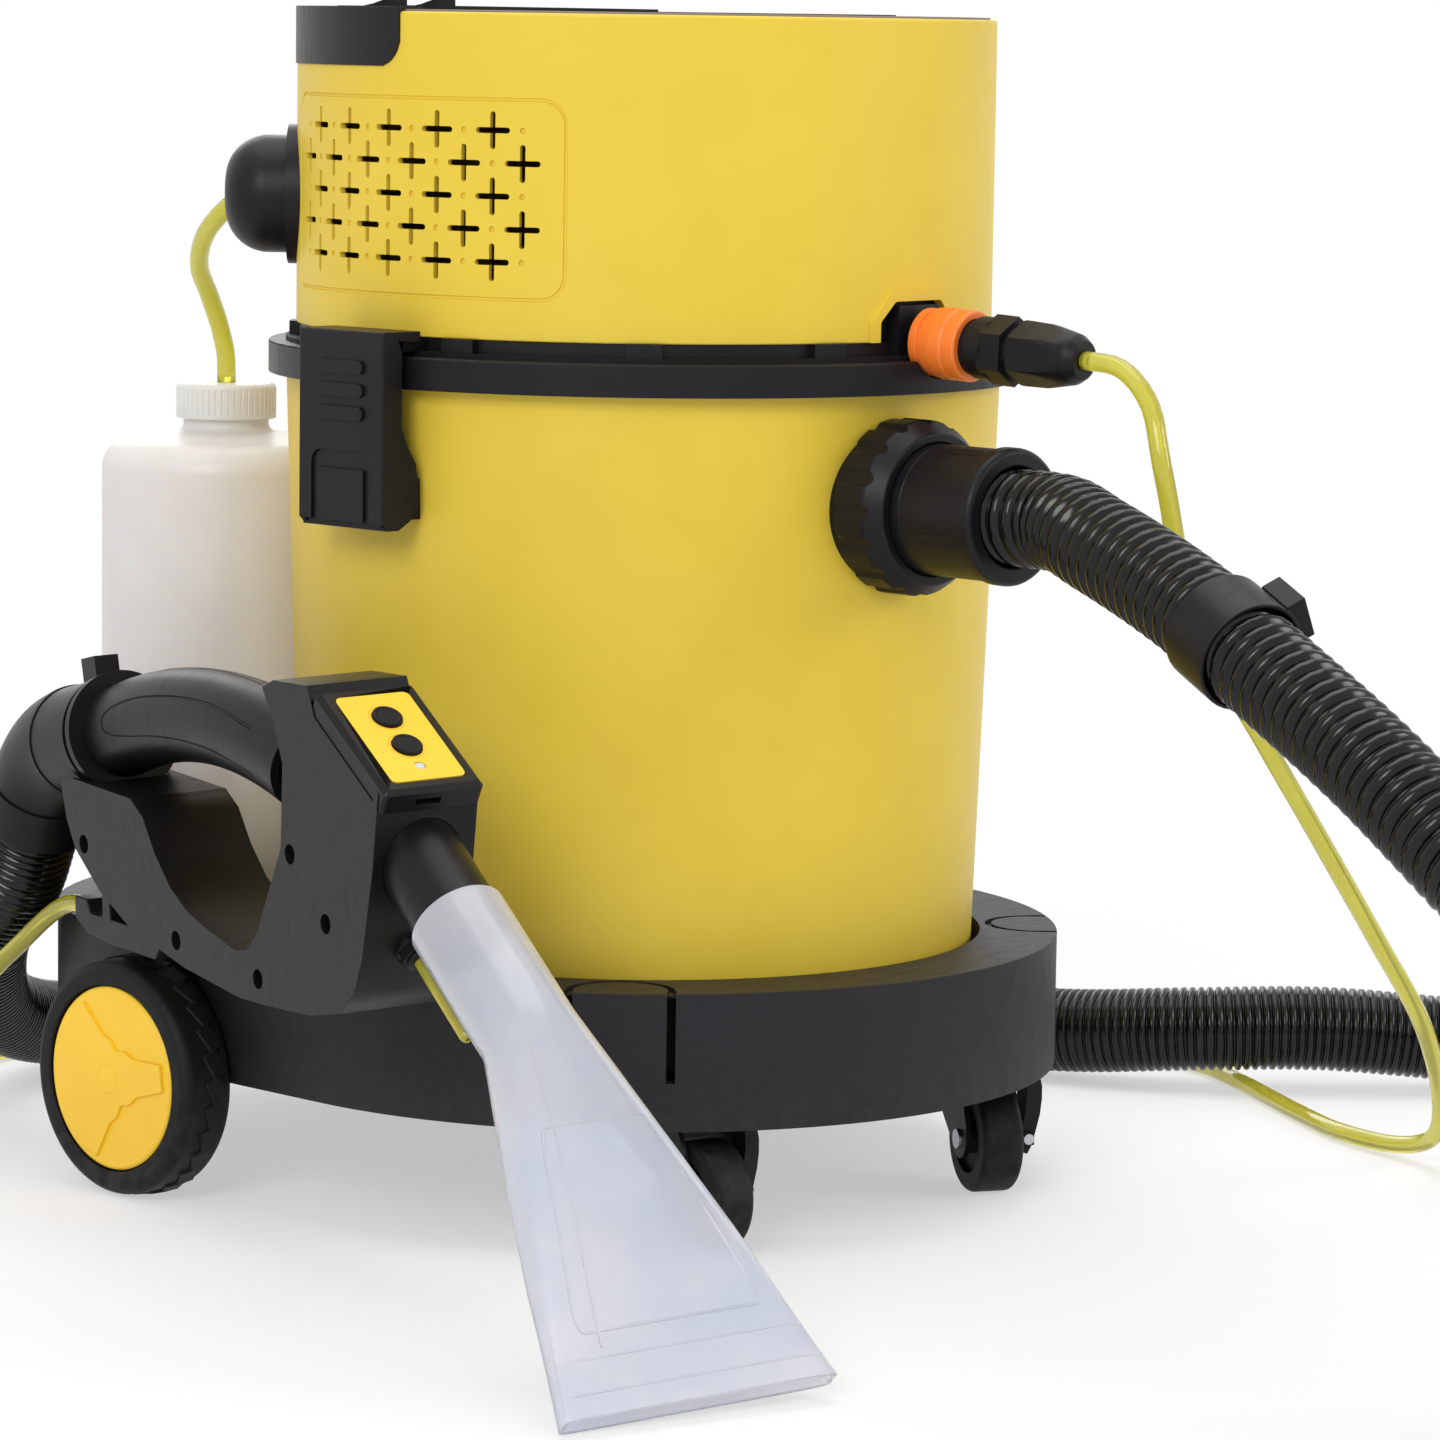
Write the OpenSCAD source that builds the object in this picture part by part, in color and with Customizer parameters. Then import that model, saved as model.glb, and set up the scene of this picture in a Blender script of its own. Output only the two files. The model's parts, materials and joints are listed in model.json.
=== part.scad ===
// Spot extractor: a drum vacuum on a rolling base, with a solution bottle, a ribbed suction hose and a
// hand tool. Millimetres, +Z up, the floor at z = 0, the drum axis at x = y = 0, the front towards -Y.

/* [Base] */
// Radius of the round front of the base
base_r = 197; // [192:1:206]
// Distance of the back edge behind the bottle's well
back_out = 6; // [4:1:20]
// Corner radius at the back
base_corner_r = 150; // [100:5:150]
// Height of the skirt's bottom edge above the floor
skirt_z = 56.5; // [54:0.5:60]
// Height of the rim above the floor
rim_z = 117.5; // [112:0.5:125]
// Wall of the base moulding
base_wall = 3; // [2.5:0.5:4]
// Gap round the foot of the tank
pocket_gap = 5.3; // [2:0.1:6]
// Angle of each clip tab from the front
tab_angle = 47; // [30:1:60]
// Width of a clip tab between its slots
tab_w = 41; // [30:1:50]
// Width of a slot
tab_slot = 4; // [3:0.5:6]
// Height of the bottom end of a slot
tab_low_z = 78; // [70:1:95]

/* [Rear wheels] */
// Radius of a rear wheel
wheel_r = 55; // [50:1:58]
// Width of a rear wheel
wheel_w = 28; // [24:1:34]
// Distance of the axle behind the drum axis
wheel_y = 112; // [100:1:120]
// Gap between a wheel and the base
wheel_gap = 1; // [0.5:0.5:4]
// Radius of the rim that carries the tyre
wheel_rim_r = 43; // [40:1:46]
// Diameter of the axle
axle_d = 10; // [8:1:12]
// Diameter of a hub cap
hub_cap_d = 84; // [76:1:86]
// Number of tread blocks
tread_blocks = 28; // [12:1:36]

/* [Casters] */
// Radius of a caster wheel
caster_r = 25; // [24:0.25:25.5]
// Width of a caster wheel
caster_w = 20; // [16:1:24]
// Trail of the caster wheel behind its stem
caster_trail = 31; // [28:1:34]
// Distance of the stems from the drum axis
caster_reach = 155; // [148:1:158]
// Angle of each stem from the front
caster_angle = 40; // [30:1:55]
// Heading of the right caster
right_caster_heading = -100; // [-180:5:180]
// Heading of the left caster
left_caster_heading = -118; // [-180:1:180]
// Diameter of a stem
stem_d = 11; // [8:1:12]
// Length of a stem inside its boss
stem_l = 13; // [10:1:13]
// Thickness of a fork cheek
fork_t = 2.5; // [2:0.5:3]
// Diameter of a caster pin
caster_pin_d = 5; // [4:0.5:7]

/* [Tank] */
// Height of the tank's underside above the floor
tank_z = 75; // [73:1:80]
// Height of the tank
tank_h = 311; // [290:1:340]
// Outer radius at the mouth
tank_r_top = 165.3; // [163:0.1:168]
// How much narrower the tank is at its foot
tank_taper = 9.6; // [7:0.1:12]
// Wall of the tank
tank_wall = 3; // [2.5:0.5:4]
// Width of the rim ring outside the tank's mouth
rim_ring_w = 7.9; // [6:0.1:9]
// Height of the rim ring
rim_ring_h = 14.5; // [12:0.5:18]

/* [Head] */
// Thickness of the gasket
gasket_t = 2; // [1.5:0.5:4]
// Height of the neck under the shell
neck_h = 6; // [5:0.5:9]
// How far the head shell stands inside the tank's mouth
head_in = 4.8; // [3.5:0.1:6]
// Height of the head shell
head_h = 142; // [132:1:160]
// Wall of the head shell
head_wall = 3; // [2.5:0.5:4]
// Thickness of the top panel
panel_t = 4; // [3:0.5:6]
// Height of the black band at the back
band_h = 26; // [20:1:34]
// Half of the angle that the band spans
band_half_angle = 92.5; // [80:0.5:100]

/* [Vents] */
// Length of a cross
cross_l = 16; // [12:0.5:18]
// Width of a cross's slot
cross_w = 2.5; // [2:0.1:3.5]
// Angle between crosses in a row
cross_pitch = 10.2; // [9:0.1:11]
// Height between rows
row_pitch = 14.3; // [12:0.1:16]
// Height of the lowest row above the shell's bottom
first_row = 34; // [30:1:40]
// Half of the angle that a vent panel spans
vent_half_angle = 32.5; // [31:0.5:36]

/* [Latches] */
// Width of a latch
latch_w = 55; // [48:1:60]
// Distance from the tank's mouth to a latch's front
latch_out = 22.7; // [22:0.1:26]
// Height of a latch
latch_h = 87; // [84:1:88]
// Thickness of a latch's front plate
latch_t = 4; // [3:0.5:5]
// Diameter of a latch pin
latch_pin_d = 4; // [3:0.5:5]

/* [Inlet] */
// Depth of the inlet's axis below the tank's mouth
inlet_down = 61; // [56:1:70]
// Angle of the inlet round the drum
inlet_az = -92; // [-96:1:-88]
// Outer radius of the spigot
spigot_r = 26.7; // [25:0.1:28]
// Outer radius of the nut
nut_r = 39; // [37:0.5:41]
// Number of scallops on the nut
nut_scallops = 16; // [8:1:20]
// Outer radius of the hose cuff
cuff_r = 29; // [28.5:0.1:30]
// Length of the cuff outside the nut
cuff_l = 48; // [40:1:60]
// Depth of the hose socket in the cuff
cuff_socket = 26; // [20:1:30]

/* [Coupler] */
// Angle of the coupler round the drum
coupler_az = -86; // [-88:1:-84]
// Droop of the coupler
coupler_droop = 3; // [0:0.5:5]
// Diameter of the sliding sleeve
sleeve_d = 32; // [29:0.5:33]
// Length of the sliding sleeve
sleeve_l = 27; // [24:1:29]
// Travel of the sleeve
sleeve_travel = 4; // [2:0.5:5]
// Width of the hexagon body
coupler_hex = 27; // [24:0.5:28]

/* [Bottle and intake] */
// Radius of the bottle
bottle_r = 59.5; // [56:0.5:60]
// Height of the bottle's body
bottle_h = 222; // [200:1:225]
// Wall of the bottle
bottle_wall = 2; // [1.5:0.5:3]
// Diameter of the bottle cap
cap_d = 48; // [44:1:52]
// Height of the bottle cap
cap_h = 17; // [14:1:20]
// Height of the bottle's underside above the floor
bottle_z = 110; // [100:1:112]
// Radius of the intake boss
boss_r = 27; // [24:0.5:29]
// How far the intake boss stands out
boss_out = 33; // [30:1:38]
// Height of the intake boss above the shell's bottom
boss_up = 58; // [50:1:66]

/* [Hand tool] */
// Thickness of each body shell
shell_half = 24; // [22:0.5:26]
// Wall of a body shell
shell_wall = 3; // [2:0.5:4]
// Radius of the grip tube
grip_r = 21; // [19:0.5:22]
// Bend radius of the grip tube
grip_bend = 300; // [290:5:310]
// Radius of the neck tube
neck_r = 18.7; // [17:0.1:19.5]
// Radius of the rear elbow
elbow_r = 25.5; // [25:0.1:27]
// Bend radius of the rear elbow
elbow_bend = 60; // [55:1:70]
// Depth of the hose socket in the elbow
elbow_socket = 20; // [16:1:30]
// Width of the control pod
pod_w = 47; // [42:1:48]
// Length of the control pod
pod_l = 69; // [64:1:72]
// Thickness of the control pod
pod_t = 11; // [9:0.5:13]
// Diameter of a button
button_d = 13; // [10:0.5:14]
// Travel of a button
button_travel = 1; // [0.5:0.1:1.2]
// Width of the nozzle's lip
lip_w = 125; // [110:1:140]
// Thickness of the nozzle's lip
lip_t = 11; // [9:0.5:13]
// Wall of the nozzle
nozzle_wall = 2; // [1.5:0.1:2.5]
// Length of the nozzle's round socket
nozzle_socket = 68; // [50:1:72]

/* [Hoses] */
// Outer diameter of the suction hose
hose_d = 43; // [40:0.5:43]
// Depth of the grooves between its ribs
hose_groove = 2.2; // [1:0.1:3]
// Bore of the suction hose
hose_bore = 34; // [30:0.5:35]
// Outer diameter of the solution tube
tube_d = 8.5; // [7:0.5:9]
// Outer diameter of the intake tube
intake_d = 9; // [8:0.5:10]

/* [Fits] */
// Radial clearance of a shaft or pin in its bore
fit = 0.05; // [0.02:0.01:0.1]
// Gap between pieces that are held or slide
gap = 0.3; // [0.2:0.05:0.6]

/* [Hidden] */
$fa = 6;
$fs = 1;
e = 0.01;

YELLOW = [0.91, 0.82, 0.35];
HUB_YELLOW = [0.97, 0.80, 0.24];
BLACK = [0.18, 0.17, 0.19];
RUBBER = [0.12, 0.12, 0.13];
ORANGE = [1.0, 0.57, 0.25];
STEEL = [0.75, 0.75, 0.77];
GREY = [0.59, 0.54, 0.52];
CLEAR = [0.86, 0.87, 0.92, 0.6];
TUBE = [0.76, 0.75, 0.24];

// Heights that follow from the sizes above
tank_top = tank_z + tank_h;
gasket_z = tank_top + 3;
neck_z = gasket_z + gasket_t;
head_z = neck_z + neck_h;
head_top = head_z + head_h;
panel_top = head_top + 1;
inlet_z = tank_top - inlet_down;
boss_z = head_z + boss_up;
boss_az = 135;

// Radii that follow from the tank's mouth
tank_r_foot = tank_r_top - tank_taper;
rim_ring_r = tank_r_top + rim_ring_w;
head_r = tank_r_top - head_in;
latch_r = tank_r_top + latch_out;

// Plan of the base
pocket_r = tank_r_foot + pocket_gap;
pocket_floor_t = 3;
bottle_az = 107.8;
bottle_reach = tank_r_top + 1 + bottle_r;
bottle_x = bottle_reach * cos(bottle_az);
bottle_y = bottle_reach * sin(bottle_az);
well_gap = 1.5;
well_r = bottle_r + well_gap;
base_back = bottle_y + well_r + back_out;
corner_x = base_r - base_corner_r;
corner_y = base_back - base_corner_r;

// Wheels and casters
wheel_in = base_r + wheel_gap;
wheel_out = wheel_in + wheel_w;
hub_cap_t = 3;
lug_x = base_r - base_wall - 22;
crown_t = 4;
crown_top_z = 2 * caster_r + 1.5 + crown_t;
boss_low_z = crown_top_z + 0.5;
cheek_in = caster_w / 2 + 1;
brake_out = cheek_in + fork_t + 4;
brake_w = 13;
brake_pin_r = 1.5;

// Pivots of the latches
latch_z = head_z + 3 - latch_h;
pivot_r = latch_r - 15;
pivot_z = latch_z + 13;
bracket_w = latch_w - 2 * (latch_side_t() + 1);
function latch_side_t() = 3;

// The inlet, along its own axis from the drum axis outwards
tank_r_inlet = tank_r_top - tank_taper * inlet_down / tank_h;
nut_in = tank_r_inlet + 1.6;
nut_l = 25;
cuff_in = nut_in + 16;
cuff_flange_t = 4.7;
cuff_end = nut_in + nut_l + cuff_l;
hose_start = cuff_end - cuff_socket;
hose_r = hose_d / 2;
socket_gap = 0.4;

// The coupler, along its own axis from its seat on the head outwards
coupler_r = tank_r_top + 1.2;
coupler_body_l = 26;
plug_r = 5;
coupler_nut_l = 34;
coupler_end = sleeve_l + coupler_body_l + coupler_nut_l;

// The hand tool's own frame: -Y forward, +Z up, the origin in the middle of the nozzle's lip
tool_place = [-base_r - 118, -base_r - 156, 6.2];
tool_yaw = 13;
tool_roll = 2;
tool_outline = [
    [201, 216], [207, 184], [218, 144], [226, 128], [238, 118], [265, 113], [305, 111], [328, 110.6],
    [380, 116], [432, 126], [462, 139], [485, 155], [493, 168], [498, 185], [486, 187], [428, 185],
    [416, 178], [405, 163], [391, 150], [376, 142], [359, 137], [331, 131], [320, 133], [311, 141],
    [287, 181.5], [283.5, 218], [291, 236], [300, 249], [290, 253], [260, 254], [254, 241], [206, 212]
];
tool_screws = [[279, 180], [249, 154.5], [311, 121.5], [387, 127], [476, 158]];
grip_centre = [380, 224 - grip_bend];
grip_from = 15.5;
grip_to = 19.3;
elbow_start = [grip_centre.x + grip_bend * sin(grip_to), grip_centre.y + grip_bend * cos(grip_to)];
elbow_dip = 12;
elbow_turn = 45;
elbow_straight = 48;
elbow_mid = elbow_start + elbow_straight * [cos(elbow_dip), -sin(elbow_dip)];
elbow_end = elbow_mid + elbow_bend * [sin(elbow_dip + elbow_turn) - sin(elbow_dip),
    cos(elbow_dip + elbow_turn) - cos(elbow_dip)];
neck_dip = 35;
neck_start = [240, 205.5];
neck_l = 85;
socket_start = [179, 162.8];
spray_place = [219, 147];
spray_nut_r = 7.5;
pod_back = [254, 252];
pod_dip = 31;
button_places = [22, 41];
lens_place = 54;

// Routes of the free hoses; the first and last two points follow the fittings that they enter
suction_points = [
    [-24, -300, 318], [-42, -362, 300], [-60, -425, 275], [-75, -488, 246], [-84, -550, 208],
    [-80, -612, 162], [-55, -670, 115], [-5, -717, 75], [70, -745, 45], [160, -745, 27],
    [255, -722, 22], [345, -672, 22], [425, -600, 22], [485, -508, 22], [518, -405, 22],
    [520, -300, 23], [495, -215, 25.5], [448, -152, 27], [396, -100, 32], [350, -50, 30.5],
    [323, 9, 25], [308, 85, 22], [290, 160, 22], [254, 243, 22], [192, 312, 22],
    [115, 358, 22], [32, 373, 22.5], [-50, 364, 25], [-120, 330, 48], [-166, 279, 91]
];
solution_points = [
    [17, -289, 378], [14, -302, 345], [29, -308, 285], [64, -318, 232], [110, -318, 180],
    [160, -312, 130], [208, -302, 86], [248, -284, 46], [275, -262, 18], [287, -232, 7],
    [299, -188, 5], [322, -145, 4.5], [345, -106, 4.5], [366, -70, 4.5], [388, -20, 4.5],
    [388, 45, 4.5], [365, 115, 4.5], [335, 190, 4.5], [285, 268, 4.5], [212, 342, 4.5],
    [118, 394, 4.5], [15, 410, 4.5], [-80, 400, 5.5], [-148, 364, 9], [-185, 316, 27],
    [-197, 266, 58], [-195, 222, 96]
];
intake_points = [[-111, 182, 433], [-99, 200, 418], [-84, 210, 403], [-73, 215, 387]];
hose_ribs = 172;
hose_sides = 8;
tube_rings = 64;
clip_at = [195, 1545];
clip_l = 28;
clip_r = 24.2;

// ---- geometry helpers ----

function unit(v) = v / norm(v);
function flip(v) = [v.x, -v.y, v.z];
function polar(az, r, z) = [r * cos(az), r * sin(az), z];

// A point of the hand tool's frame in the machine's frame
function tool_at(p) =
    let (a = -tool_roll, b = -tool_yaw)
    let (q = [p.x * cos(a) + p.z * sin(a), p.y, p.z * cos(a) - p.x * sin(a)])
    tool_place + [q.x * cos(b) - q.y * sin(b), q.x * sin(b) + q.y * cos(b), q.z];

module in_tool() {
    translate(tool_place) rotate([0, -tool_roll, -tool_yaw]) children();
}

// Outline drawn in the tool's Y and Z, extruded across it from x = from to x = to
module tool_slab(points, from, to) {
    translate([from, 0, 0]) rotate([90, 0, 90]) linear_extrude(to - from) polygon(points);
}

// Cylinder across the tool
module tool_bore(at, r, from, to) {
    translate([from, at.x, at.y]) rotate([0, 90, 0]) cylinder(r = r, h = to - from);
}

// Children drawn along +Z are turned to run from a point of the tool's Y and Z, dipping backwards
module along_tool(at, dip) {
    translate([0, at.x, at.y]) rotate([-90 - dip, 0, 0]) children();
}

// Children drawn along +Z are turned to point outwards from the drum
module outwards(az, r, z) {
    rotate([0, 0, az]) translate([r, 0, z]) rotate([0, 90, 0]) children();
}

module ring(outer, inner, h) {
    difference() {
        cylinder(r = outer, h = h);
        translate([0, 0, -1]) cylinder(r = inner, h = h + 2);
    }
}

// Half section of a round can whose edges are rounded
module can_section(r, h, f) {
    square([r - f, h]);
    translate([0, f]) square([r, h - 2 * f]);
    translate([r - f, f]) circle(f);
    translate([r - f, h - f]) circle(f);
}

// Polygon whose sides are moved inwards; its points run counter-clockwise
function inset(points, d) =
    let (n = len(points))
    [for (i = [0 : n - 1])
        let (a = unit(points[i] - points[(i + n - 1) % n]), b = unit(points[(i + 1) % n] - points[i]))
        let (na = [-a.y, a.x], nb = [-b.y, b.x])
        points[i] + d * (na + nb) / (1 + na * nb)];

// ---- hoses as swept polyhedra ----

function route_slope(P, i) =
    i == 1 ? unit(P[1] - P[0]) * norm(P[2] - P[1]) :
    i == len(P) - 2 ? unit(P[i + 1] - P[i]) * norm(P[i] - P[i - 1]) :
    (P[i + 1] - P[i - 1]) / 2;

function curve(a, b, ta, tb, t) =
    (2 * t ^ 3 - 3 * t ^ 2 + 1) * a + (t ^ 3 - 2 * t ^ 2 + t) * ta +
    (3 * t ^ 2 - 2 * t ^ 3) * b + (t ^ 3 - t ^ 2) * tb;

// Smooth line through the route, straight in its first and last pieces
function smooth(P, steps) = concat([P[0]],
    [for (i = [1 : len(P) - 3]) for (k = [0 : steps - 1])
        curve(P[i], P[i + 1], route_slope(P, i), route_slope(P, i + 1), k / steps)],
    [P[len(P) - 2], P[len(P) - 1]]);

function lengths(Q) = [for (i = 0, s = 0; i < len(Q);
    s = s + (i + 1 < len(Q) ? norm(Q[i + 1] - Q[i]) : 0), i = i + 1) s];

// Tables of length against each coordinate
function tables(Q) = let (s = lengths(Q))
    [for (k = [0 : 2]) [for (i = [0 : len(Q) - 1]) [s[i], Q[i][k]]]];
function run_length(T) = T[0][len(T[0]) - 1][0];
function point_at(T, s) = [lookup(s, T[0]), lookup(s, T[1]), lookup(s, T[2])];
function heading_at(T, s) = unit(point_at(T, s + 2) - point_at(T, s - 2));

function headings(C) = [for (i = [0 : len(C) - 1])
    unit(C[min(i + 1, len(C) - 1)] - C[max(i - 1, 0)])];

// Directions square to the line that turn with it as little as they can
function square_to(v, t) = unit(v - (v * t) * t);
function sides_of(H) = [for (i = 0, u = square_to([0.1, 0.2, 1], H[0]); i < len(H);
    u = square_to(u, H[min(i + 1, len(H) - 1)]), i = i + 1) square_to(u, H[i])];

function loop(c, t, u, r, n) = let (w = cross(t, u))
    [for (j = [0 : n - 1]) c + r * (cos(360 * j / n) * u + sin(360 * j / n) * w)];

// Triangles between loops of n points that start at point number "first"
function wall_faces(first, loops, n, inside) =
    [for (i = [0 : loops - 2]) for (j = [0 : n - 1])
        let (a = first + i * n + j, b = first + i * n + (j + 1) % n, c = a + n, d = b + n)
        each inside ? [[a, d, c], [a, b, d]] : [[a, c, d], [a, d, b]]];

module solid_tube(C, radii, n) {
    H = headings(C);
    U = sides_of(H);
    last = (len(C) - 1) * n;
    points = [for (i = [0 : len(C) - 1]) each loop(C[i], H[i], U[i], radii[i], n)];
    caps = [for (j = [1 : n - 2]) each [[0, j, j + 1], [last, last + j + 1, last + j]]];
    polyhedron(points, concat(wall_faces(0, len(C), n, false), caps), convexity = 10);
}

module bored_tube(C, radii, C2, bore, n) {
    H = headings(C);
    U = sides_of(H);
    pick = (len(C) - 1) / (len(C2) - 1);
    outer = [for (i = [0 : len(C) - 1]) each loop(C[i], H[i], U[i], radii[i], n)];
    inner = [for (i = [0 : len(C2) - 1]) each loop(C2[i], H[i * pick], U[i * pick], bore, n)];
    a = (len(C) - 1) * n;
    b = len(C) * n;
    c = b + (len(C2) - 1) * n;
    ends = [for (j = [0 : n - 1]) let (k = (j + 1) % n) each [
        [j, k, b + k], [j, b + k, b + j], [a + k, a + j, c + k], [a + j, c + j, c + k]]];
    polyhedron(concat(outer, inner), concat(wall_faces(0, len(C), n, false),
        wall_faces(b, len(C2), n, true), ends), convexity = 20);
}

// Least distance between stretches of a line that lie more than "apart" points from each other
function least_gap(C, apart) = min([for (i = [0 : len(C) - 1 - apart])
    for (j = [i + apart : len(C) - 1]) norm(C[i] - C[j])]);

// ---- base, wheels and casters ----

module base_outline(in) {
    circle(base_r - in);
    translate([in - base_r, 0]) square([2 * (base_r - in), corner_y]);
    translate([-corner_x, 0]) square([2 * corner_x, base_back - in]);
    for (side = [-1, 1]) translate([side * corner_x, corner_y]) circle(base_corner_r - in);
}

module base_slab(in, from, to) {
    translate([0, 0, from]) linear_extrude(to - from) base_outline(in);
}

module tab_grooves() {
    tab_r = base_r - 9;
    for (side = [-1, 1]) rotate([0, 0, -90 + side * tab_angle]) {
        for (edge = [-1, 1])
            translate([tab_r, edge * (tab_w + tab_slot) / 2 - tab_slot / 2, tab_low_z])
                cube([20, tab_slot, rim_z]);
        translate([tab_r, 0, rim_z - 2]) intersection() {
            ring(tab_w / 2 + tab_slot - 0.4, tab_w / 2 + 0.4, 5);
            translate([-60, -60, -1]) cube([61, 120, 10]);
        }
    }
}

module base_tray() {
    color(BLACK) difference() {
        union() {
            difference() {
                base_slab(0, skirt_z, rim_z);
                base_slab(base_wall, skirt_z - 1, rim_z - base_wall);
            }
            translate([0, 0, tank_z - pocket_floor_t])
                cylinder(r = pocket_r + base_wall, h = rim_z - tank_z + pocket_floor_t);
            translate([bottle_x, bottle_y, bottle_z - base_wall])
                cylinder(r = well_r + base_wall, h = rim_z - bottle_z + base_wall);
            for (side = [-1, 1]) {
                translate(polar(-90 + side * caster_angle, caster_reach, boss_low_z))
                    cylinder(d = stem_d + 17, h = tank_z - boss_low_z - 1);
                translate([side * (lug_x + 6) - 6, wheel_y - 12, wheel_r - axle_d / 2 - 6])
                    cube([12, 24, rim_z - wheel_r + axle_d / 2 + 4]);
            }
            for (turn = [0, 60, 120]) rotate([0, 0, turn])
                translate([-pocket_r, -2, tank_z - 12]) cube([2 * pocket_r, 4, 10]);
        }
        translate([0, 0, tank_z]) cylinder(r = pocket_r, h = rim_z);
        translate([bottle_x, bottle_y, bottle_z]) cylinder(r = well_r, h = rim_z);
        for (side = [-1, 1])
            translate(polar(-90 + side * caster_angle, caster_reach, boss_low_z - 1))
                cylinder(d = stem_d + 2 * fit, h = stem_l + 2);
        translate([-base_r, wheel_y, wheel_r]) rotate([0, 90, 0])
            cylinder(d = axle_d + 2 * fit, h = 2 * base_r);
        tab_grooves();
    }
}

module axle() {
    half = wheel_out - hub_cap_t - 2;
    color(STEEL) translate([0, wheel_y, wheel_r]) rotate([0, 90, 0]) {
        translate([0, 0, -half]) cylinder(d = axle_d, h = 2 * half);
        for (side = [-1, 1]) translate([0, 0, side * (half - 3.5) - 0.75])
            cylinder(r = axle_d / 2 + 4, h = 1.5);
    }
}

// A wheel's own axis runs along +Z from its inner face
module at_wheel(side) {
    translate([side * wheel_in, wheel_y, wheel_r]) rotate([0, side * 90, 0]) children();
}

module tyre(side) {
    color(RUBBER) at_wheel(side) difference() {
        rotate_extrude() difference() {
            can_section(wheel_r, wheel_w, 5);
            translate([-1, -1]) square([wheel_rim_r + 1, wheel_w + 2]);
        }
        for (i = [0 : tread_blocks - 1]) rotate([0, 0, 360 * i / tread_blocks])
            translate([wheel_r - 1.5, -1.2, -1]) cube([4, 2.4, wheel_w - 6]);
    }
}

module wheel(side) {
    color(BLACK) at_wheel(side) difference() {
        rotate_extrude() {
            translate([wheel_rim_r - 4, 0]) square([4, wheel_w - hub_cap_t]);
            translate([axle_d / 2 + fit, 8]) square([wheel_rim_r - axle_d / 2 - fit, 4]);
            translate([axle_d / 2 + fit, 0]) square([7, wheel_w - hub_cap_t - 8]);
        }
        for (i = [0 : 5]) rotate([0, 0, 60 * i + 30]) translate([25, 0, 0]) cylinder(r = 6, h = 20);
    }
}

module hub_cap(side) {
    color(HUB_YELLOW) at_wheel(side) translate([0, 0, wheel_w - hub_cap_t]) {
        rotate_extrude() {
            square([hub_cap_d / 2, hub_cap_t - 1]);
            square([hub_cap_d / 2 - 2, hub_cap_t]);
        }
        for (i = [0 : 2]) rotate([0, 0, 120 * i]) translate([0, 0, hub_cap_t - e])
            linear_extrude(0.8) polygon([[0, -12], [16, -11], [40, -5], [40, 5], [16, 11], [0, 12]]);
        translate([0, 0, hub_cap_t - e]) cylinder(r = 14, h = 1.3);
    }
}

// A caster's own frame: the stem on +Z through the origin on the floor, the wheel trailing along +X
module at_caster(side) {
    heading = side < 0 ? right_caster_heading : left_caster_heading;
    translate(polar(-90 + side * caster_angle, caster_reach, 0)) rotate([0, 0, heading]) children();
}

module across_caster(r, from, to) {
    translate([caster_trail, from, caster_r]) rotate([-90, 0, 0]) cylinder(r = r, h = to - from);
}

module caster_fork(side) {
    cheek_out = cheek_in + fork_t;
    color(BLACK) at_caster(side) difference() {
        union() {
            translate([0, 0, crown_top_z - crown_t]) {
                cylinder(r = 15, h = crown_t);
                translate([0, -cheek_out, 0]) cube([caster_trail - 2, 2 * cheek_out, crown_t]);
                cylinder(d = stem_d, h = crown_t + 0.5 + stem_l);
                cylinder(d = stem_d + 6, h = crown_t + 0.4);
            }
            for (s = [-1, 1]) translate([0, s * (cheek_in + fork_t / 2), 0]) rotate([90, 0, 0])
                linear_extrude(fork_t, center = true) {
                    polygon([[-9, crown_top_z], [-9, crown_top_z - 8], [caster_trail - 9, caster_r - 3],
                        [caster_trail + 9, caster_r], [caster_trail + 9, caster_r + 8],
                        [caster_trail - 2, crown_top_z]]);
                    translate([caster_trail, caster_r]) circle(9);
                }
            for (s = [-1, 1])
                translate([caster_trail + s * (brake_w / 2 + 1.3) - 1, cheek_out - e, caster_r - 3])
                    cube([2, brake_out - cheek_out + 3, 6]);
        }
        across_caster(caster_pin_d / 2 + fit, -50, 50);
        translate([caster_trail, brake_out, caster_r]) rotate([0, 90, 0])
            cylinder(r = brake_pin_r + fit, h = 40, center = true);
    }
}

// The wheel's pin, headed on the outside, and the brake's pin, headed at both ends
module caster_pin(side) {
    cheek_out = cheek_in + fork_t;
    ear = brake_w / 2 + 2.3;
    color(STEEL) at_caster(side) {
        across_caster(caster_pin_d / 2, -cheek_out - e, cheek_out);
        across_caster(caster_pin_d / 2 + 2, -cheek_out - 1.6, -cheek_out);
        translate([caster_trail, brake_out, caster_r]) rotate([0, 90, 0]) {
            cylinder(r = brake_pin_r, h = 2 * ear, center = true);
            for (s = [-1, 1]) translate([0, 0, s * (ear + 0.6)])
                cylinder(r = brake_pin_r + 1, h = 1.2, center = true);
        }
    }
}

module caster_wheel(side) {
    color(RUBBER) at_caster(side) translate([caster_trail, 0, caster_r]) rotate([90, 0, 0])
        translate([0, 0, -caster_w / 2]) difference() {
            rotate_extrude() can_section(caster_r, caster_w, 3);
            translate([0, 0, -1]) cylinder(r = caster_pin_d / 2 + fit, h = caster_w + 2);
            for (z = [-1, caster_w - 3]) translate([0, 0, z]) ring(16, 7, 4);
        }
}

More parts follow.
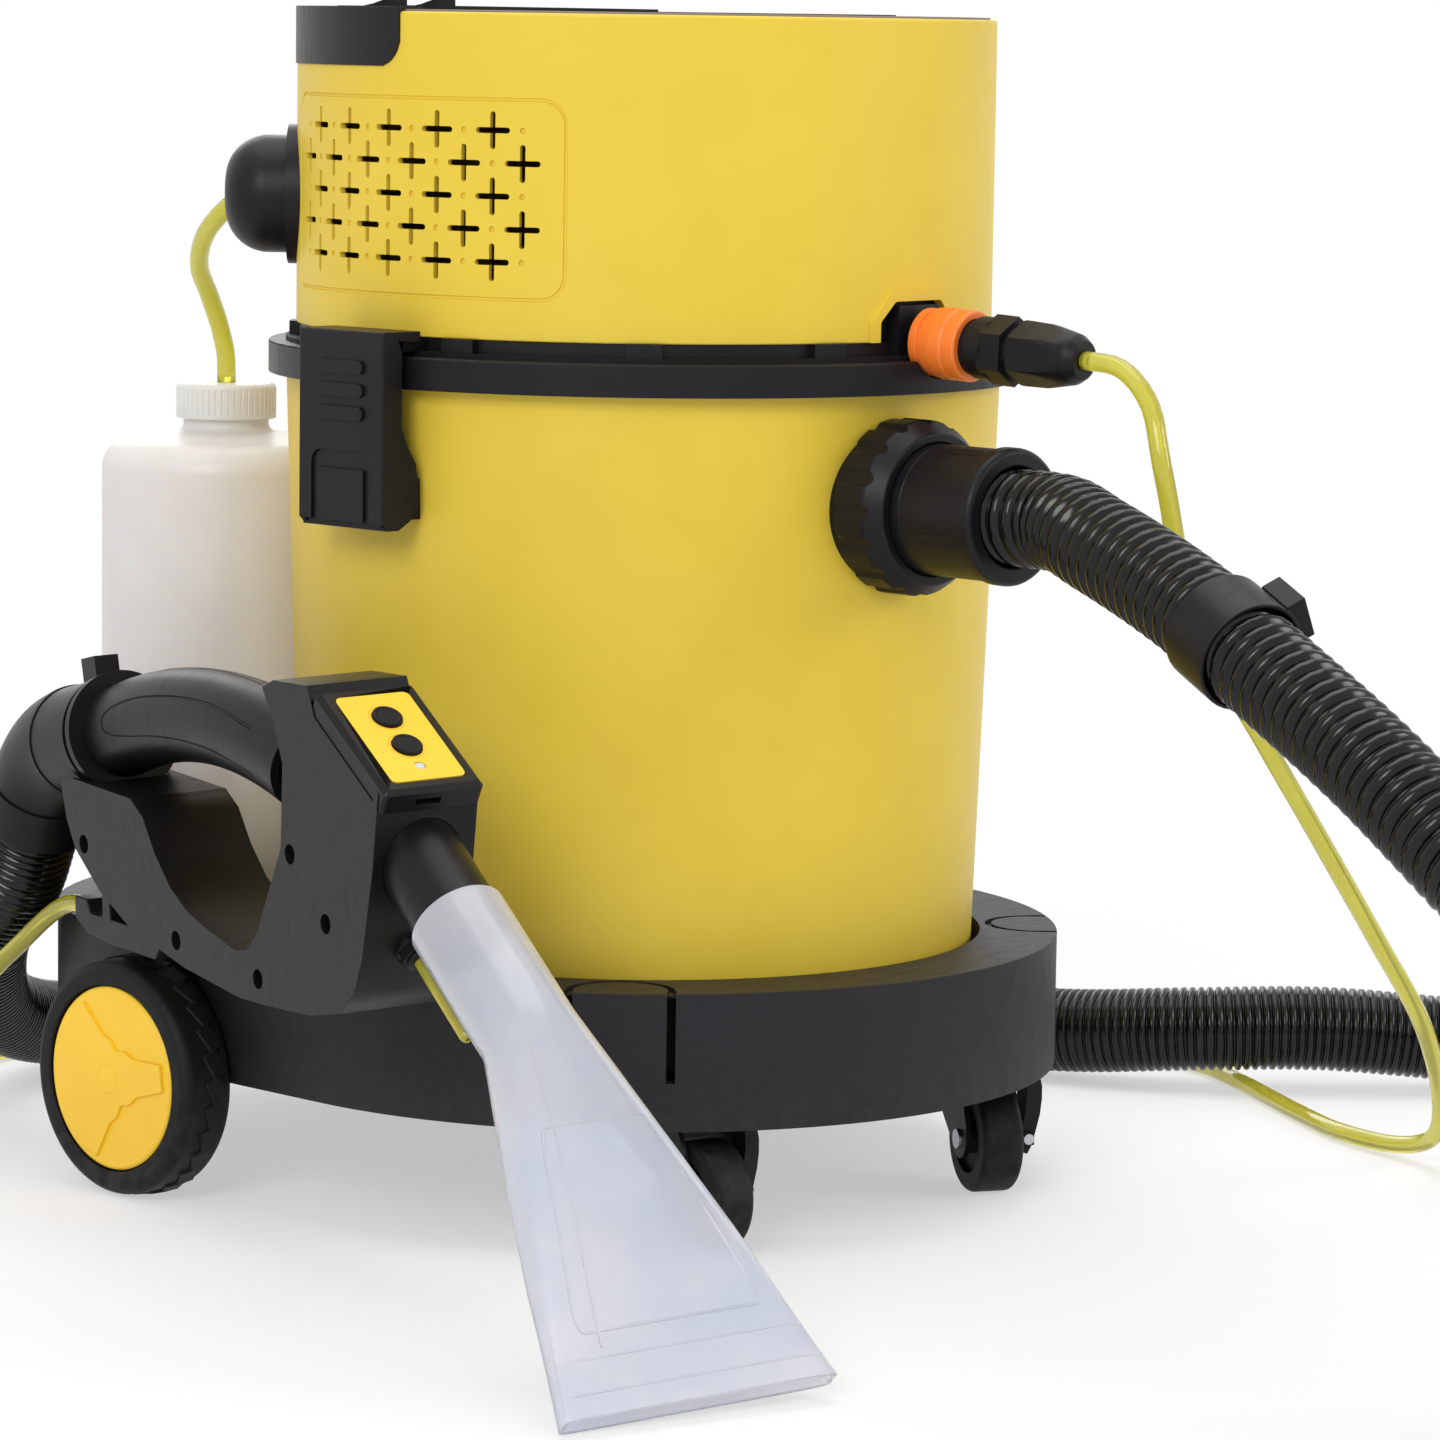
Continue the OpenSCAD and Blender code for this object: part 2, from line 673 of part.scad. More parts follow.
// Brake lever: leans out beside the fork on a pin that runs along the trail
module caster_brake(side) {
    color(BLACK) at_caster(side) translate([caster_trail - brake_w / 2, brake_out, caster_r])
        rotate([90, 0, 90]) linear_extrude(brake_w) difference() {
            polygon([[-1.2, -7], [0.6, -7.6], [2.6, -4], [4.6, 3], [6.6, 11], [7.4, 18], [7.4, 24], [6.2, 29],
                [-0.8, 29], [-0.2, 21], [-1, 12], [-2.4, 4], [-2.6, 0], [-2.2, -4]]);
            circle(brake_pin_r + fit);
        }
}

// ---- tank ----

// Outer half section of the tank, whose wall leans outwards
module tank_section(in) {
    lean = tank_taper / tank_h;
    polygon([[0, in], [tank_r_foot - in - 6, in], [tank_r_foot - in + lean * in, in + 6],
        [tank_r_top - in, tank_h + (in > 0 ? 1 : 0)], [0, tank_h + (in > 0 ? 1 : 0)]]);
}

module tank_body() {
    translate([0, 0, tank_z]) rotate_extrude() tank_section(0);
}

module recovery_tank() {
    color(YELLOW) difference() {
        tank_body();
        translate([0, 0, tank_z]) rotate_extrude() tank_section(tank_wall);
        outwards(inlet_az, tank_r_inlet - 20, inlet_z) cylinder(r = spigot_r + fit, h = 40);
    }
}

module tank_rim() {
    low = gasket_z - rim_ring_h;
    color(BLACK) difference() {
        translate([0, 0, low]) rotate_extrude() difference() {
            translate([tank_r_top - tank_wall - 6, 0])
                square([rim_ring_r - tank_r_top + tank_wall + 6, rim_ring_h]);
            translate([rim_ring_r - 1, rim_ring_h - 1]) difference() {
                square(2);
                circle(1);
            }
        }
        translate([0, 0, low - 1]) cylinder(r = tank_r_top, h = tank_top - low + 1);
        along_coupler(-12) cylinder(r = sleeve_d / 2 + gap, h = sleeve_l);
    }
}

module rim_gasket() {
    color(RUBBER) translate([0, 0, gasket_z]) ring(tank_r_top, tank_r_top - 11, gasket_t);
}

// ---- latches ----

// A latch's own frame is the left one's: outwards along +X
module latch_side(side) {
    rotate([0, 0, side < 0 ? 180 : 0]) children();
}

module latch_brackets() {
    color(BLACK) difference() {
        for (side = [-1, 1]) latch_side(side)
            translate([tank_r_inlet - 8, -bracket_w / 2, pivot_z - 9])
                cube([pivot_r + 4 - tank_r_inlet + 8, bracket_w, 18]);
        tank_body();
        for (side = [-1, 1]) latch_side(side) translate([pivot_r, 40, pivot_z]) rotate([90, 0, 0])
            cylinder(d = latch_pin_d + 2 * fit, h = 80);
    }
}

module latch_pins() {
    color(STEEL) for (side = [-1, 1]) latch_side(side)
        translate([pivot_r, latch_w / 2, pivot_z]) rotate([90, 0, 0])
            cylinder(d = latch_pin_d, h = latch_w);
}

module latch(side) {
    top = latch_z + latch_h;
    hook = latch_r - 22;
    color(BLACK) latch_side(side) difference() {
        union() {
            translate([latch_r - latch_t, -latch_w / 2, latch_z + 3])
                cube([latch_t, latch_w, latch_h - 3]);
            translate([hook, -latch_w / 2, top - 4]) cube([latch_r - hook - 1, latch_w, 4]);
            for (s = [-1, 1]) translate([0, s * (latch_w / 2 - 1.5), 0]) rotate([90, 0, 0])
                linear_extrude(3, center = true) polygon([
                    [latch_r - 1, top], [hook, top], [hook, top - 4], [latch_r - 9, top - 4],
                    [latch_r - 11.5, top - 9], [latch_r - 11.5, latch_z + 45], [latch_r - 15, latch_z + 37],
                    [latch_r - 20, latch_z + 29], [latch_r - 21.5, latch_z + 20],
                    [latch_r - 21.5, latch_z + 10], [latch_r - 17, latch_z + 4],
                    [latch_r - 10, latch_z], [latch_r - 4, latch_z], [latch_r - e, latch_z + 4]]);
            translate([latch_r - 8, -latch_w / 2, latch_z]) cube([5, latch_w, 4]);
            for (i = [0 : 2]) translate([latch_r, 0, top - 16 - 10.2 * i]) rotate([0, 90, 0])
                linear_extrude(1.4) {
                    square([6, 25], center = true);
                    for (s = [-1, 1]) translate([0, s * 12.5]) circle(3);
                }
        }
        translate([pivot_r, 40, pivot_z]) rotate([90, 0, 0])
            cylinder(d = latch_pin_d + 2 * fit, h = 80);
        translate([latch_r - 1.3, 0, latch_z]) rotate([90, 0, 90]) linear_extrude(3) difference() {
            union() {
                translate([-19, -5]) square([38, 34]);
                translate([-14, 0]) square([28, 34]);
                for (s = [-1, 1]) translate([s * 13, 28]) circle(6);
            }
            translate([-15, -6]) square([30, 32]);
        }
    }
}

// ---- suction inlet ----

spigot_in = tank_r_inlet - 15;

module inlet_spigot() {
    bore = spigot_r - 5.2;
    color(BLACK) difference() {
        union() {
            outwards(inlet_az, spigot_in, inlet_z) {
                cylinder(r = spigot_r, h = cuff_in - spigot_in - gap / 2);
                cylinder(r = spigot_r + 5, h = 3);
            }
            difference() {
                outwards(inlet_az, tank_r_inlet - 9, inlet_z)
                    cylinder(r = nut_r - 3, h = nut_in - gap - tank_r_inlet + 9);
                tank_body();
            }
        }
        outwards(inlet_az, spigot_in - 1, inlet_z) cylinder(r = bore, h = 60);
    }
}

module inlet_nut() {
    shoulder = cuff_in - nut_in;
    color(BLACK) outwards(inlet_az, nut_in, inlet_z) difference() {
        rotate_extrude() can_section(nut_r, nut_l, 3);
        translate([0, 0, -1]) cylinder(r = spigot_r + gap, h = nut_l);
        translate([0, 0, shoulder - gap]) cylinder(r = cuff_r + 4 + gap, h = cuff_flange_t + 2 * gap);
        translate([0, 0, shoulder]) cylinder(r = cuff_r + gap, h = nut_l);
        for (i = [0 : nut_scallops - 1]) rotate([0, 0, 360 * i / nut_scallops])
            translate([nut_r + 3.6, 0, -1]) cylinder(r = 5.2, h = nut_l - 3);
    }
}

module hose_cuff() {
    l = cuff_end - cuff_in;
    color(BLACK) outwards(inlet_az, cuff_in, inlet_z) difference() {
        union() {
            cylinder(r = cuff_r, h = l - 6);
            cylinder(r = cuff_r + 4, h = cuff_flange_t);
            translate([0, 0, l - 8]) rotate_extrude() can_section(cuff_r + 1.2, 8, 3);
            for (turn = [0 : 90 : 270]) rotate([0, 0, turn + 20])
                translate([cuff_r - 2, -3, nut_l - 5]) cube([2.8, 6, l - nut_l - 8]);
        }
        translate([0, 0, -1]) cylinder(d = hose_bore + 1, h = l + 2);
        translate([0, 0, l - cuff_socket]) cylinder(r = hose_r + socket_gap, h = cuff_socket + 1);
    }
}

module inlet_deflector() {
    back = spigot_in + 6;
    half = spigot_r + 6.3;
    color(BLACK) rotate([0, 0, inlet_az]) difference() {
        translate([back - 32, -half - 3, inlet_z - 40]) cube([32, 2 * half + 6, 76]);
        translate([back - 29, -half, inlet_z - 45]) cube([26, 2 * half, 78]);
        translate([back - 10, 0, inlet_z]) rotate([0, 90, 0]) cylinder(r = spigot_r + 0.1, h = 30);
    }
}

cage_r = 24.5;
cage_l = 91;
cage_bottom_z = neck_z - cage_l;
ball_r = 20;
seat_r = 16;

module float_cage() {
    color(BLACK) difference() {
        union() {
            translate([0, 0, cage_bottom_z]) cylinder(r = cage_r, h = neck_z - cage_bottom_z);
            translate([0, 0, neck_z - 3]) cylinder(r = cage_r + 10, h = 3);
        }
        translate([0, 0, cage_bottom_z + 3]) cylinder(r = ball_r + 2, h = neck_z - cage_bottom_z);
        for (turn = [0 : 45 : 135]) rotate([0, 0, turn])
            translate([-cage_r - 1, -4, cage_bottom_z + 12]) cube([2 * cage_r + 2, 8, 60]);
    }
}

module float_ball() {
    color(ORANGE) translate([0, 0, cage_bottom_z + 3 + ball_r + gap]) sphere(r = ball_r);
}

// ---- head ----

motor_x = 0;
fan_case_r = 70;
fan_r = 62;
shaft_r = 4;
pump_at = [100, 60];

module head_base() {
    color(BLACK) difference() {
        union() {
            translate([0, 0, neck_z]) cylinder(r = head_r - 1.5, h = 3);
            translate([0, 0, neck_z]) ring(head_r - 1.5, head_r - 6, neck_h);
            for (turn = [15 : 30 : 345]) rotate([0, 0, turn])
                translate([head_r - 6, -8, neck_z]) cube([9, 16, neck_h]);
            for (side = [-1, 1]) latch_side(side)
                translate([head_r - 6, -23, neck_z]) cube([latch_r - 16 - head_r + 6, 46, neck_h - 1.5]);
            rotate([0, 0, coupler_az]) {
                translate([head_r - 22, -24, neck_z]) cube([16, 48, neck_h + 17]);
                translate([head_r - 7, -14, neck_z]) cube([8, 28, neck_h + 16]);
            }
        }
        translate([0, 0, neck_z - 1]) cylinder(r = seat_r, h = 8);
        along_coupler(-40) cylinder(r = plug_r + fit, h = 45);
    }
}

// A cross through the shell wall
module vent_cross(az, z) {
    rotate([0, 0, az]) translate([head_r - head_wall - 1, 0, z]) {
        translate([0, -cross_l / 2, -cross_w / 2]) cube([head_wall + 2, cross_l, cross_w]);
        translate([0, -cross_w / 2, -cross_l / 2]) cube([head_wall + 2, cross_w, cross_l]);
    }
}

module vent_dot(az, z) {
    outwards(az, head_r - 1.6, z) cylinder(d = cross_w + 0.5, h = 4);
}

module vents(side) {
    middle = side < 0 ? 180 : 0;
    for (row = [0 : 4]) {
        z = head_z + first_row + row * row_pitch;
        half = row % 2 == 0 ? 2 : 2.5;
        for (k = [-half : half]) vent_cross(middle + k * cross_pitch, z);
        for (k = [half - 4.5 : 4.5 - half]) vent_dot(middle + k * cross_pitch, z);
    }
}

// Groove round a vent panel
module vent_border(side) {
    middle = side < 0 ? 180 : 0;
    high = 5 * row_pitch + 15;
    low = head_z + first_row - 16;
    rotate([0, 0, middle]) for (s = [-1, 1]) {
        rotate([0, 0, s * vent_half_angle])
            translate([head_r - 0.7, -0.75, low + 10]) cube([3, 1.5, high - 20]);
    }
    for (z = [low, low + high]) translate([0, 0, z - 0.75]) rotate([0, 0, middle - vent_half_angle + 3])
        rotate_extrude(angle = 2 * vent_half_angle - 6)
            translate([head_r - 0.7, 0]) square([3, 1.5]);
}

module coupler_gate(grow, from, depth) {
    rotate([0, 0, coupler_az]) translate([from, 0, head_z]) rotate([90, 0, 90]) linear_extrude(depth)
        polygon([[-25 - grow, -1], [-25 - grow, 9], [-16 - grow / 2, 18 + grow],
            [16 + grow / 2, 18 + grow], [25 + grow, 9], [25 + grow, -1]]);
}

// Sector of a ring, centred on the back
module back_sector(outer, inner, from, to, half) {
    translate([0, 0, from]) rotate([0, 0, 90 - half]) rotate_extrude(angle = 2 * half)
        translate([inner, 0]) square([outer - inner, to - from]);
}

band_depth = 1.6;
band_low = panel_top + 1 - band_h;

// The band's outer skin with its lower front corners rounded; grown by "more" on every side
module band_skin(inner, outer, more) {
    corner = 13;
    low = band_low - more;
    half = band_half_angle + more / head_r * 57.3;
    turn = corner / head_r * 57.3;
    difference() {
        back_sector(outer, inner, low, panel_top + 1, half);
        for (s = [-1, 1]) rotate([0, 0, 90 + s * (half - turn)]) translate([inner - 5, 0, low])
            rotate([90, 0, 90]) linear_extrude(outer - inner + 10) scale([s, 1]) polygon(concat(
                [[corner + 5, corner * 1.1], [corner + 5, -5], [0, -5]],
                [for (a = [12 : 13 : 77]) corner * [sin(a), 1 - cos(a)]]));
    }
}

module head_shell() {
    color(YELLOW) difference() {
        union() {
            translate([0, 0, head_z]) rotate_extrude() difference() {
                translate([head_r - head_wall, 0]) square([head_wall, head_h]);
                translate([head_r - 2, head_h - 2]) difference() {
                    square(3);
                    circle(2);
                }
            }
            translate([0, 0, panel_top - panel_t - 3]) ring(head_r - head_wall + e, head_r - 12, 3);
            intersection() {
                coupler_gate(4, head_r - 2, 4);
                translate([0, 0, head_z]) cylinder(r = head_r + 1.5, h = 60);
            }
        }
        for (side = [-1, 1]) {
            vents(side);
            vent_border(side);
        }
        coupler_gate(0, head_r - 10, 20);
        band_skin(head_r - band_depth, head_r + 10, gap);
        outwards(boss_az, head_r - 20, boss_z) cylinder(r = 8, h = 40);
        outwards(90, head_r - 20, head_z + 40) cylinder(r = 8 + gap, h = 40);
    }
}

pocket_w = 120;
pocket_y = 50;
pocket_l = 60;
pocket_d = 28;
bar_w = 20;

// Band round the back of the head, in one with the bar across the hand pocket
module rear_band() {
    y = pocket_y + pocket_l / 2;
    strap_x = pocket_w / 2 + 8;
    color(BLACK) {
        band_skin(head_r - band_depth + gap / 2, head_r + 0.8, 0);
        back_sector(head_r + 0.8, head_r - 14, panel_top, panel_top + 1, band_half_angle);
        translate([-pocket_w / 2 + gap, y, panel_top]) rotate([90, 0, 90])
            linear_extrude(pocket_w - 2 * gap) {
                translate([-bar_w / 2, -1.5]) square([bar_w, 3.5]);
                translate([-bar_w / 2 + 3, -4.5]) square([bar_w - 6, 6]);
                for (s = [-1, 1]) translate([s * (bar_w / 2 - 3), -1.5]) circle(3);
            }
        for (s = [-1, 1]) {
            translate([s * strap_x - 9, y - bar_w / 2, panel_top]) cube([18, bar_w, 2]);
            translate([s * strap_x - 5, y, panel_top]) cube([10, 52, 1.6]);
        }
    }
}

switch_x = -108;
switch_y = [30, 62];
rocker_w = 13;
rocker_l = 19;

module top_panel() {
    low = panel_top - panel_t;
    color(GREY) difference() {
        union() {
            translate([0, 0, low]) cylinder(r = head_r - head_wall - gap, h = panel_t);
            translate([-pocket_w / 2 - 2.5, pocket_y - 2.5, panel_top - pocket_d - 2.5])
                cube([pocket_w + 5, pocket_l + 5, pocket_d]);
        }
        translate([-pocket_w / 2, pocket_y, panel_top - pocket_d])
            cube([pocket_w, pocket_l, pocket_d + 1]);
        for (y = switch_y) translate([switch_x - rocker_w / 2 - gap, y - rocker_l / 2 - 2, low - 1])
            cube([rocker_w + 2 * gap, rocker_l + 4, panel_t + 2]);
        back_sector(head_r, head_r - 14 - gap, panel_top - 0.4, panel_top + 2, band_half_angle);
    }
}

rocker_z = panel_top - 0.5;

module rocker(y) {
    color(BLACK) translate([switch_x - rocker_w / 2, y, rocker_z]) rotate([90, 0, 90])
        linear_extrude(rocker_w) polygon([[-rocker_l / 2, -5], [rocker_l / 2, -5], [rocker_l / 2, 1.5],
            [0, 3], [-rocker_l / 2, 5.5]]);
}

module cord_gland() {
    color(BLACK) outwards(90, head_r - 8, head_z + 40) difference() {
        union() {
            cylinder(r = 8, h = 12);
            cylinder(r = 11, h = 7.4 - head_wall);
            translate([0, 0, 8]) cylinder(r = 11, h = 5);
            translate([0, 0, 13 - e]) cylinder(r1 = 8, r2 = 6, h = 16);
        }
        translate([0, 0, -1]) cylinder(r = 4.2, h = 40);
    }
}

fan_low = neck_z + 11;

module vacuum_motor() {
    base = neck_z + 3;
    color(STEEL) {
        difference() {
            translate([0, 0, base]) cylinder(r = fan_case_r, h = 36);
            translate([0, 0, base + 3]) cylinder(r = fan_case_r - 3, h = 30);
            translate([0, 0, base - 1]) cylinder(r = seat_r, h = 10);
            for (turn = [0 : 60 : 300]) rotate([0, 0, turn])
                translate([fan_case_r - 10, -8, base + 10]) cube([20, 16, 12]);
        }
        translate([0, 0, base + 36 - e]) cylinder(r = 45, h = 70);
        translate([0, 0, fan_low - 2]) cylinder(r = shaft_r, h = base + 37 - fan_low);
    }
}

module fan() {
    color(STEEL) translate([0, 0, fan_low]) difference() {
        union() {
            cylinder(r = fan_r, h = 2);
            cylinder(r = 10, h = 14);
            for (i = [0 : 6]) rotate([0, 0, 360 * i / 7]) translate([9, -1, 0]) cube([fan_r - 10, 2, 12]);
        }
        translate([0, 0, -1]) cylinder(r = shaft_r + fit, h = 20);
    }
}

module pump() {
    color(BLACK) translate([pump_at.x, pump_at.y, neck_z + 3]) {
        translate([-24, -16, 0]) cube([48, 32, 8]);
        translate([0, 0, 8 - e]) cylinder(r = 20, h = 52);
        translate([0, 0, 60 - 2 * e]) cylinder(r = 16, h = 16);
        translate([0, 0, 68]) rotate([90, 0, 0]) cylinder(r = 4, h = 30, center = false);
    }
}

// ---- bottle and intake ----

barb_az = 90;
barb_dip = 32;
barb_l = 24;
// The barb grows out of the far side of the boss, and the intake tube leaves its end
function barb_root() = polar(131.1, head_r + 16, boss_z + 9);
function barb_dir() = [cos(barb_az) * cos(barb_dip), sin(barb_az) * cos(barb_dip), -sin(barb_dip)];
function barb_end() = barb_root() + barb_l * barb_dir();
function cap_top() = [bottle_x, bottle_y, bottle_z + bottle_h + 12 + cap_h];

module intake_boss() {
    curve_r = 20;
    color(BLACK) {
        difference() {
            outwards(boss_az, head_r - 8, boss_z) {
                translate([0, 0, 4]) rotate_extrude() {
                    square([boss_r - curve_r, boss_out + 4]);
                    square([boss_r, boss_out + 4 - curve_r]);
                    intersection() {
                        translate([boss_r - curve_r, boss_out + 4 - curve_r]) circle(curve_r);
                        square([boss_r, boss_out + 4]);
                    }
                    square([boss_r + 5, 8]);
                }
            }
            translate([0, 0, head_z]) cylinder(r = head_r + 0.05, h = head_h);
        }
        outwards(boss_az, head_r - 6, boss_z) cylinder(r = 8 - fit, h = 12);
        translate(barb_root()) rotate([0, 90 + barb_dip, barb_az])
            cylinder(r = intake_d / 2 + 1.5, h = barb_l);
    }
}

module intake_tube() {
    route = concat([barb_end(), barb_end() + intake_d * barb_dir()], intake_points,
        [cap_top() + [0, 0, intake_d], cap_top()]);
    T = tables(smooth(route, 8));
    n = 14;
    C = [for (i = [0 : n]) point_at(T, run_length(T) * i / n)];
    color(TUBE) solid_tube(C, [for (i = C) intake_d / 2], 10);
}

// Half section of the bottle with its shoulder and neck
module bottle_section(in) {
    intersection() {
        translate([0, in]) can_section(bottle_r - in, bottle_h - 2 * in, 9);
        square([bottle_r, bottle_h]);
    }
    translate([0, bottle_h - in - 6]) polygon([[0, 0], [bottle_r - 9 - in, 6], [28 - in, 9.5], [28 - in, 13],
        [0, 13]]);
    translate([0, bottle_h - in]) square([cap_d / 2 - 4 - in, 14 + 2 * in + cap_h / 2]);
}

module bottle() {
    color(CLEAR) translate([bottle_x, bottle_y, bottle_z]) rotate_extrude() difference() {
        bottle_section(0);
        bottle_section(bottle_wall);
    }
}

module bottle_cap() {
    z = bottle_z + bottle_h + 12;
    color(CLEAR) translate([bottle_x, bottle_y, z]) difference() {
        union() {
            rotate_extrude() difference() {
                can_section(cap_d / 2, cap_h, 2.5);
                translate([-1, -1]) square([cap_d / 2 - 4 + gap + 1, cap_h - 1]);
            }
            translate([0, 0, 20 - bottle_h]) cylinder(r = 3.5, h = bottle_h + cap_h - 20);
        }
        translate([0, 0, 10 - bottle_h]) cylinder(r = 2, h = bottle_h + cap_h - 15);
    }
}

// ---- coupler ----

module along_coupler(from) {
    rotate([0, 0, coupler_az]) translate([coupler_r, 0, head_z + 0.5]) rotate([0, 90 + coupler_droop, 0])
        translate([0, 0, from]) children();
}

// Where the solution tube leaves the coupler's nut
function coupler_dir() = [cos(coupler_az) * cos(coupler_droop), sin(coupler_az) * cos(coupler_droop),
    -sin(coupler_droop)];
function coupler_mouth() = polar(coupler_az, coupler_r, head_z + 0.5) + coupler_end * coupler_dir();

module coupler_sleeve() {
    r = sleeve_d / 2;
    color(ORANGE) along_coupler(0) rotate_extrude() difference() {
        union() {
            can_section(r, sleeve_l, 2);
        }
        translate([-1, -1]) square([12 + gap + 1, sleeve_l + 2]);
        for (z = [4, 15]) translate([r - 1.2, z]) square([2, 1.6]);
    }
}

module coupler_body() {
    color(BLACK) along_coupler(0) difference() {
        union() {
            translate([0, 0, 1]) cylinder(r = 12, h = sleeve_l + sleeve_travel);
            translate([0, 0, -24]) cylinder(r = plug_r, h = 26);
            translate([0, 0, sleeve_l + sleeve_travel]) cylinder(r = 14, h = 8);
            translate([0, 0, sleeve_l + 11]) cylinder(d = coupler_hex / cos(30), h = 12, $fn = 6);
            translate([0, 0, sleeve_l + 11]) cylinder(r = 11.5, h = coupler_body_l - 11);
        }
        translate([0, 0, -30]) cylinder(r = 3, h = 100);
    }
}

module coupler_nut() {
    low = sleeve_l + coupler_body_l;
    color(BLACK) along_coupler(low) difference() {
        union() {
            cylinder(d = 25 / cos(30), h = 20, $fn = 6);
            translate([0, 0, 20 - e]) cylinder(r1 = 12.5, r2 = 8.5, h = coupler_nut_l - 20);
        }
        translate([0, 0, -1]) cylinder(r = 3, h = coupler_nut_l + 2);
    }
}

// ---- hoses ----

// Where the suction hose starts in the cuff and ends in the tool's elbow
function cuff_dir() = [cos(inlet_az), sin(inlet_az), 0];
function cuff_shoulder() = polar(inlet_az, hose_start, inlet_z);
function elbow_shoulder() = tool_at([0, elbow_end.x, elbow_end.y]);
function elbow_dir() = let (a = elbow_dip + elbow_turn) tool_at([0, cos(a), -sin(a)]) - tool_place;

suction_route = concat([cuff_shoulder(), cuff_shoulder() + 45 * cuff_dir()], suction_points,
    [elbow_shoulder() + 44 * elbow_dir(), elbow_shoulder()]);
suction_table = tables(smooth(suction_route, 10));

module suction_hose() {
    rings = 2 * hose_ribs;
    length = run_length(suction_table);
    C = [for (i = [0 : rings]) point_at(suction_table, length * i / rings)];
    C2 = [for (i = [0 : 4 : rings]) C[i]];
    radii = [for (i = [0 : rings]) hose_r - (i % 2 == 0 ? 0 : hose_groove)];
    echo(hose_length = length, least_gap = least_gap([for (i = [0 : 4 : rings]) C[i]], 12) - hose_d);
    color(RUBBER) bored_tube(C, radii, C2, hose_bore / 2, hose_sides);
}

// The barb under the guard that the solution tube ends on
tube_barb = [512, 120];
function barb_place() = tool_at([0, tube_barb.x, tube_barb.y]);
function back_dir() = tool_at([0, 1, 0]) - tool_place;

module solution_tube() {
    route = concat([coupler_mouth(), coupler_mouth() + 11 * coupler_dir()], solution_points,
        [barb_place() + 20 * back_dir(), barb_place()]);
    T = tables(smooth(route, 10));
    C = [for (i = [0 : tube_rings]) point_at(T, run_length(T) * i / tube_rings)];
    echo(tube_length = run_length(T));
    color(TUBE) solid_tube(C, [for (c = C) tube_d / 2], 8);
}

// Collars clipped round the suction hose, each with a block for the solution tube
module hose_clips() {
    color(BLACK) for (i = [0, 1]) {
        h = heading_at(suction_table, clip_at[i]);
        translate(point_at(suction_table, clip_at[i])) rotate([0, acos(h.z), atan2(h.y, h.x)])
            translate([0, 0, -clip_l / 2]) difference() {
                union() {
                    cylinder(r = clip_r, h = clip_l);
                    rotate([0, 0, i == 0 ? 120 : 180]) translate([hose_r + 1, -10, 4])
                        cube([9, 20, clip_l - 8]);
                }
                translate([0, 0, -1]) cylinder(r = hose_r + 1, h = clip_l + 2);
            }
    }
}

// ---- hand tool ----

module grip_sweep(r, from, to) {
    translate([0, grip_centre.x, grip_centre.y]) rotate([0, 90, 0]) rotate([0, 0, 180 - to])
        rotate_extrude(angle = to + from) translate([grip_bend, 0]) circle(r);
}

module tool_shell(side) {
    color(BLACK) in_tool() difference() {
        union() {
            difference() {
                tool_slab(tool_outline, side < 0 ? -shell_half : 0, side < 0 ? 0 : shell_half);
                tool_slab(inset(tool_outline, shell_wall), side < 0 ? shell_wall - shell_half : -1,
                    side < 0 ? 1 : shell_half - shell_wall);
            }
            for (p = tool_screws) tool_bore(p, 6.5, side < 0 ? -shell_half : 0, side < 0 ? 0 : shell_half);
        }
        for (p = tool_screws) {
            if (side < 0) tool_bore(p, 4.3, -shell_half - 1, -10);
            tool_bore(p, 1.8 + fit, -shell_half, 16);
        }
        grip_sweep(grip_r + gap, grip_from, grip_to + 3);
        along_tool(elbow_start - 4 * [cos(elbow_dip), -sin(elbow_dip)], elbow_dip)
            cylinder(r = elbow_r + 3 + gap, h = 60);
        along_tool(neck_start, 180 - neck_dip) cylinder(r = neck_r + gap, h = neck_l);
        along_tool(spray_place, 180 - neck_dip) translate([0, 0, -6]) cylinder(r = spray_nut_r + fit, h = 16);
        pod_space(gap);
    }
}

module grip_tube() {
    color(BLACK) in_tool() difference() {
        union() {
            grip_sweep(grip_r, grip_from, grip_to + 1);
            intersection() {
                grip_sweep(grip_r + 1.2, 6, 14);
                translate([-grip_r - 5, 330, 150]) cube([2 * grip_r + 10, 130, 90]);
                for (s = [-1, 1]) translate([s * 20 - 9, 330, 206]) cube([18, 130, 30]);
            }
        }
        grip_sweep(hose_bore / 2, grip_from + 1, grip_to + 2);
        along_tool(elbow_start, elbow_dip) cylinder(r = 2 * grip_r, h = 20);
    }
}

module tool_elbow() {
    along = [cos(elbow_dip), -sin(elbow_dip)];
    angle = elbow_dip + elbow_turn;
    color(BLACK) in_tool() difference() {
        union() {
            along_tool(elbow_start, elbow_dip) cylinder(r = elbow_r, h = elbow_straight);
            along_tool(elbow_start, elbow_dip) cylinder(r = elbow_r + 2.5, h = 4);
            along_tool(elbow_start + 9 * along, elbow_dip) cylinder(r = elbow_r + 1.5, h = 3);
            elbow_sweep(elbow_r);
            along_tool(elbow_mid - 1.5 * along, elbow_dip) cylinder(r = elbow_r + 0.6, h = 3);
            along_tool(elbow_end, angle) {
                cylinder(r = elbow_r, h = elbow_socket);
                translate([0, 0, -2]) cylinder(r = elbow_r + 1, h = 5);
            }
            translate([-6, elbow_start.x + 14, elbow_start.y + elbow_r - 6]) rotate([-elbow_dip, 0, 0])
                cube([12, 14, 14]);
        }
        along_tool(elbow_start - along, elbow_dip) cylinder(d = hose_bore, h = elbow_straight + 1);
        elbow_sweep(hose_bore / 2);
        along_tool(elbow_end, angle) cylinder(r = hose_r + socket_gap, h = elbow_socket + 1);
    }
}

